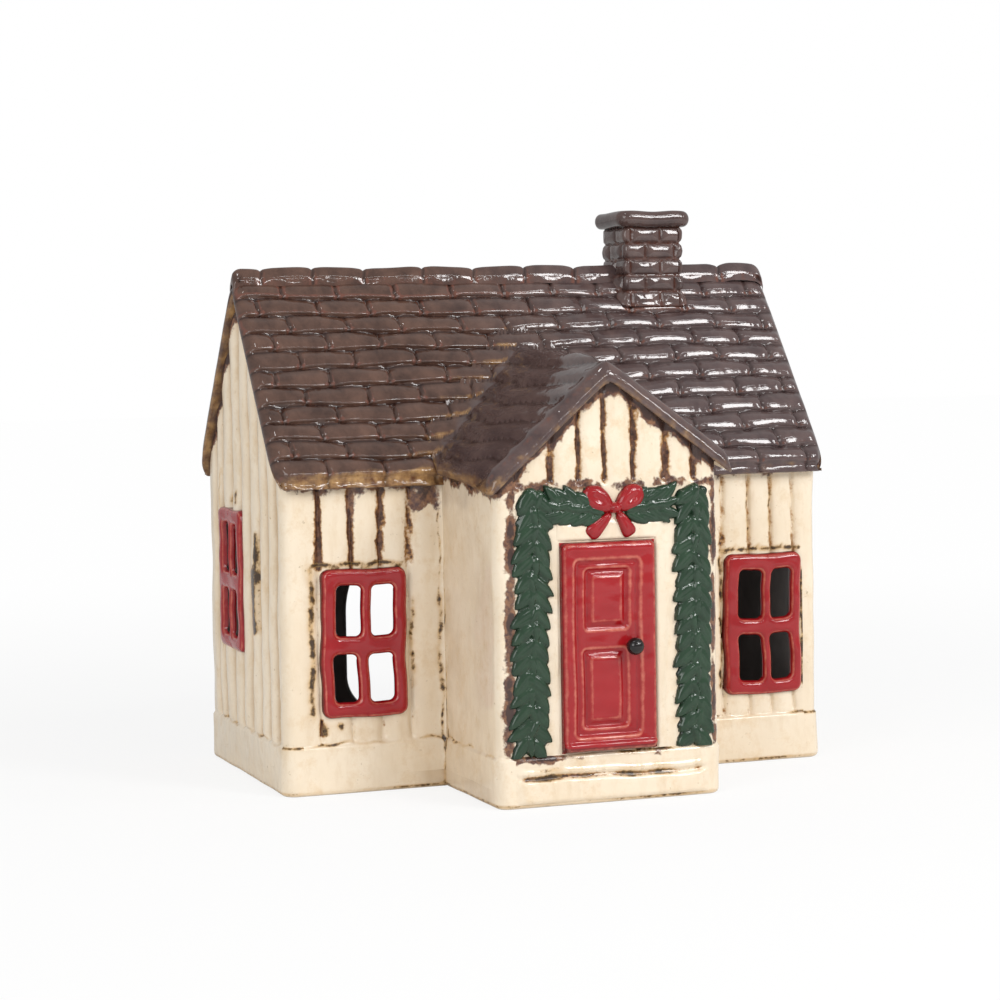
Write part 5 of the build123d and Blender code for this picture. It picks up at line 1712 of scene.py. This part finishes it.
def door_step():
    """The doorstep on the plinth: an upper tread, a beaded nosing and a lower tread.

    The upper tread steps back by a smooth ramp, the nosing meets the lower tread in a
    furrow 0.85 mm deep, and the ends and edges are rounded.
    """
    x0, x1, z0, z1 = -28.8, 24.0, 0.9, 12.9
    x = places(x0, x1, 0.6, 0.2, (x0, x1), 1.0)
    z = places(z0, z1, 0.4, 0.1, (z0, z1, 9.4, 6.9), 0.9)
    z, x = np.meshgrid(z, x, indexing="ij")
    ends = np.minimum(x - x0, x1 - x)
    sway = 0.25 * np.sin(0.17 * x) + 0.15 * np.sin(0.5 * x) + 0.02 * (x + 2.0)
    upper = z - 9.2 + 0.7 * sway
    lower = z - 7.0 + 0.7 * sway
    beads = 0.24 * np.sin(4.6 * x + 2.0 * np.sin(0.4 * x)) * hump(z - 8.2 + 0.7 * sway, 0.6)
    furrow = lower - 0.2
    out = 1.7 - 0.5 * ramp(-0.3, 0.9, upper) - 0.3 * hump(upper, 0.7)
    out = out - 0.85 * hump(furrow, 0.9) + beads
    out = out - 0.8 * quarter_round(z1 - z, 1.6) - 1.1 * quarter_round(z - z0, 1.4)
    out = out * ramp(-0.2, 3.2, ends) + 0.5 * wobble(x, 0 * x, z) - 0.15
    out = out + plinth_proud * (1.0 - ramp(0.0, 3.0, ends)) - 0.1
    patchy = 0.6 + 0.3 * np.sin(0.23 * x) + 0.25 * np.sin(0.61 * x + 1.0)
    west = 1.0 - ramp(-14.0, 14.0, x)
    inner = ramp(1.0, 3.5, ends)
    run = hump(z - 12.2, 1.5) * (0.66 * hump(x + 22.0, 8.0) + 0.4 * patchy)
    stain = inner * patchy * (0.95 * hump(furrow, 1.1) + 0.5 * hump(upper, 0.7))
    stain = stain + 0.9 * patchy * hump(z1 - z - 0.2, 0.9)
    marks = {"pool": inner * (0.22 + 0.3 * west + 0.5 * patchy) * hump(furrow, 0.65),
             "stain": np.clip(stain, 0, 1.1), "shade": 0.12 * ramp(9.5, 12.5, z),
             "spill": np.clip(run, 0, 1)}
    return porch_relief("door_step", x, z, out, 0.7, None, cream, marks)


door_step()


# Tealight
def crimped(points):
    """Shallow upright flutes pressed in the cup: the radius swings by a sine of the angle."""
    centre = np.array(tealight_at[:2])
    arm = points[..., :2] - centre
    radius = np.linalg.norm(arm, axis=-1)
    angle = np.arctan2(arm[..., 1], arm[..., 0])
    high = ramp(5.5, 7.5, points[..., 2]) * (1.0 - ramp(18.0, 19.5, points[..., 2]))
    swing = 0.07 * np.sin(48 * angle) * high * (radius > 18.0)
    points = points.copy()
    points[..., :2] = centre + arm * (1.0 + swing / np.maximum(radius, 1e-6))[..., None]
    return points


cup = np.array([[18.0, 4.5], [18.5, 4.6], [18.75, 4.95], [18.85, 5.6], [18.85, 7.5],
                [18.85, 12.0], [18.85, 17.5], [18.85, 19.2], [19.0, 19.9], [19.2, 20.2],
                [19.2, 20.45], [19.0, 20.6], [18.7, 20.55], [18.5, 20.3], [18.45, 19.5],
                [18.45, 12.0], [18.45, 5.6], [18.2, 5.05], [17.5, 4.9]])
turned_piece("tealight_cup", cup, 288, tealight_at, "tealight",
             aluminium(), shape=crimped)
wax_profile = np.array([[18.1, 5.0], [18.3, 5.3], [18.3, 16.8], [18.15, 17.15], [17.4, 17.2],
                        [15.5, 16.95], [12.0, 16.6], [8.0, 16.35], [4.0, 16.3], [1.6, 16.5],
                        [0.7, 16.9]])
turned_piece("tealight_wax", wax_profile, 96, tealight_at, "tealight", wax())
holder = np.array([[6.6, 4.92], [7.0, 4.95], [7.0, 5.2], [6.6, 5.25], [1.5, 5.3], [1.3, 5.5],
                   [1.3, 7.2], [1.1, 7.25]])
turned_piece("wick_sustainer", holder, 48, tealight_at, "tealight",
             tinned_steel())


def leaning(points):
    """The wick's own lean and twist: it drifts sideways as it rises."""
    rise = np.clip((points[..., 2] - 17.0) / 5.0, 0.0, 1.0)
    points = points.copy()
    points[..., 0] += 0.9 * rise ** 2
    points[..., 1] -= 0.4 * rise
    return points


wick_z = np.linspace(5.3, 21.9, 60)
wick_r = 0.58 + 0.07 * np.sin(5.0 * wick_z) - 0.25 * ramp(21.4, 21.9, wick_z)
turned_piece("tealight_wick", np.stack([wick_r, wick_z], axis=-1), 20, tealight_at,
             "tealight", cotton(), shape=leaning)


# Floor, light and camera
def floor_sheet():
    """A pale floor that keeps the shadow round the house.

    To the camera its own white light has a share that grows from 0.82 near the house
    to 0.985 from 0.6 m off, so that the far floor is as white as the room.
    """
    material, tree, place = start_material("Matt white paper")
    noise = add_node(tree, "ShaderNodeTexNoise", {"Scale": per_mm(40.0)}, {"Vector": place})
    colour = coats(tree, "#f4f4f3", (noise.outputs["Fac"], "#f7f7f6"))
    shader = add_node(tree, "ShaderNodeBsdfDiffuse", None, {"Color": colour})
    glow = add_node(tree, "ShaderNodeEmission", {"Color": (1, 1, 1, 1), "Strength": 1.0})
    rays = add_node(tree, "ShaderNodeLightPath")
    away = add_node(tree, "ShaderNodeVectorMath", {"operation": "LENGTH"}, {0: place})
    white = add_node(tree, "ShaderNodeMapRange",
                     {"From Min": 0.1, "From Max": 0.6, "To Min": 0.82, "To Max": 0.985,
                      "interpolation_type": "SMOOTHSTEP"},
                     {"Value": away.outputs["Value"]})
    share = add_node(tree, "ShaderNodeMath", {"operation": "MULTIPLY"},
                     {0: rays.outputs["Is Camera Ray"], 1: white.outputs["Result"]})
    both = add_node(tree, "ShaderNodeMixShader", None,
                    {0: share.outputs[0], 1: shader.outputs[0], 2: glow.outputs[0]})
    add_node(tree, "ShaderNodeOutputMaterial", None, {"Surface": both.outputs[0]})
    line = np.linspace(-3000, 3000, 41)
    x, y = np.meshgrid(line, line)
    points = np.stack([x, y, np.zeros_like(x)], axis=-1).reshape(-1, 3) * mm
    mesh = bpy.data.meshes.new("floor")
    mesh.from_pydata(points.tolist(), [], grid_quads(*x.shape).tolist())
    mesh.materials.append(material)
    floor = bpy.data.objects.new("floor", mesh)
    bpy.context.scene.collection.objects.link(floor)


floor_sheet()


def add_lamp(name, place, aim, size, power):
    """A soft rectangular lamp at place, turned to face aim, both in mm."""
    lamp = bpy.data.lights.new(name, "AREA")
    lamp.shape = "RECTANGLE"
    lamp.size, lamp.size_y = size[0] * mm, size[1] * mm
    lamp.energy = power
    holder = bpy.data.objects.new(name, lamp)
    place, aim = np.array(place, float), np.array(aim, float)
    back = (place - aim) / np.linalg.norm(place - aim)
    side = np.cross([0.0, 0.0, 1.0], back)
    side = side / np.linalg.norm(side)
    rise = np.cross(back, side)
    turn = np.eye(4)
    turn[:3] = np.stack([side, rise, back, place * mm], axis=-1)
    holder.matrix_world = Matrix(turn.tolist())
    bpy.context.scene.collection.objects.link(holder)


add_lamp("key", (451, -757, 537), (10, 0, 70), (230, 225), 3.2)
add_lamp("strip", (320, -640, 760), (10, 0, 90), (420, 45), 1.1)
add_lamp("fill", (-900, -700, 500), (0, 0, 60), (600, 600), 4.1)
add_lamp("edge", (693, -511, 478), (0, 0, 80), (90, 170), 0.8)
add_lamp("spark", (80, -830, 440), (-20, 0, 100), (220, 45), 0.5)
add_lamp("glint", (-290, -230, 900), (-30, 0, 110), (60, 60), 0.34)


def world():
    """A plain white room: 1 to the camera and through glass, 0.58 in gloss, 0.5 as light."""
    sky = bpy.data.worlds.new("white room")
    bpy.context.scene.world = sky
    sky.use_nodes = True
    tree = sky.node_tree
    tree.nodes.clear()
    rays = add_node(tree, "ShaderNodeLightPath")
    seen = add_node(tree, "ShaderNodeMath", {"operation": "MAXIMUM"},
                    {0: rays.outputs["Is Camera Ray"], 1: rays.outputs["Is Transmission Ray"]})
    gloss = add_node(tree, "ShaderNodeMath", {"operation": "MULTIPLY_ADD", 1: 0.08, 2: 0.5},
                     {0: rays.outputs["Is Glossy Ray"]})
    strength = add_node(tree, "ShaderNodeMath", {"operation": "MAXIMUM"},
                        {0: seen.outputs[0], 1: gloss.outputs[0]})
    backdrop = add_node(tree, "ShaderNodeBackground", {"Color": (1, 1, 1, 1)},
                        {"Strength": strength.outputs[0]})
    add_node(tree, "ShaderNodeOutputWorld", None, {"Surface": backdrop.outputs[0]})


world()


eye_at = (-252.518, -656.982, 117.848)
eye_lens = 94.956


def camera():
    """The photograph's eye: lens, place and roll solved from the corners of the house."""
    azimuth, height, roll = radians(-20.2703), radians(3.7258), radians(-0.9040)
    back = np.array([sin(azimuth) * cos(height), -cos(azimuth) * cos(height), sin(height)])
    right = np.array([cos(azimuth), sin(azimuth), 0.0])
    up = np.cross(back, right)
    matrix = np.eye(4)
    matrix[:3, 0] = cos(roll) * right + sin(roll) * up
    matrix[:3, 1] = -sin(roll) * right + cos(roll) * up
    matrix[:3, 2] = back
    matrix[:3, 3] = np.array(eye_at) * mm
    eye = bpy.data.cameras.new("camera")
    eye.lens = eye_lens
    eye.sensor_width = 36.0
    holder = bpy.data.objects.new("camera", eye)
    holder.matrix_world = Matrix(matrix.tolist())
    bpy.context.scene.collection.objects.link(holder)
    bpy.context.scene.camera = holder


camera()

bpy.context.scene.view_settings.view_transform = "Standard"
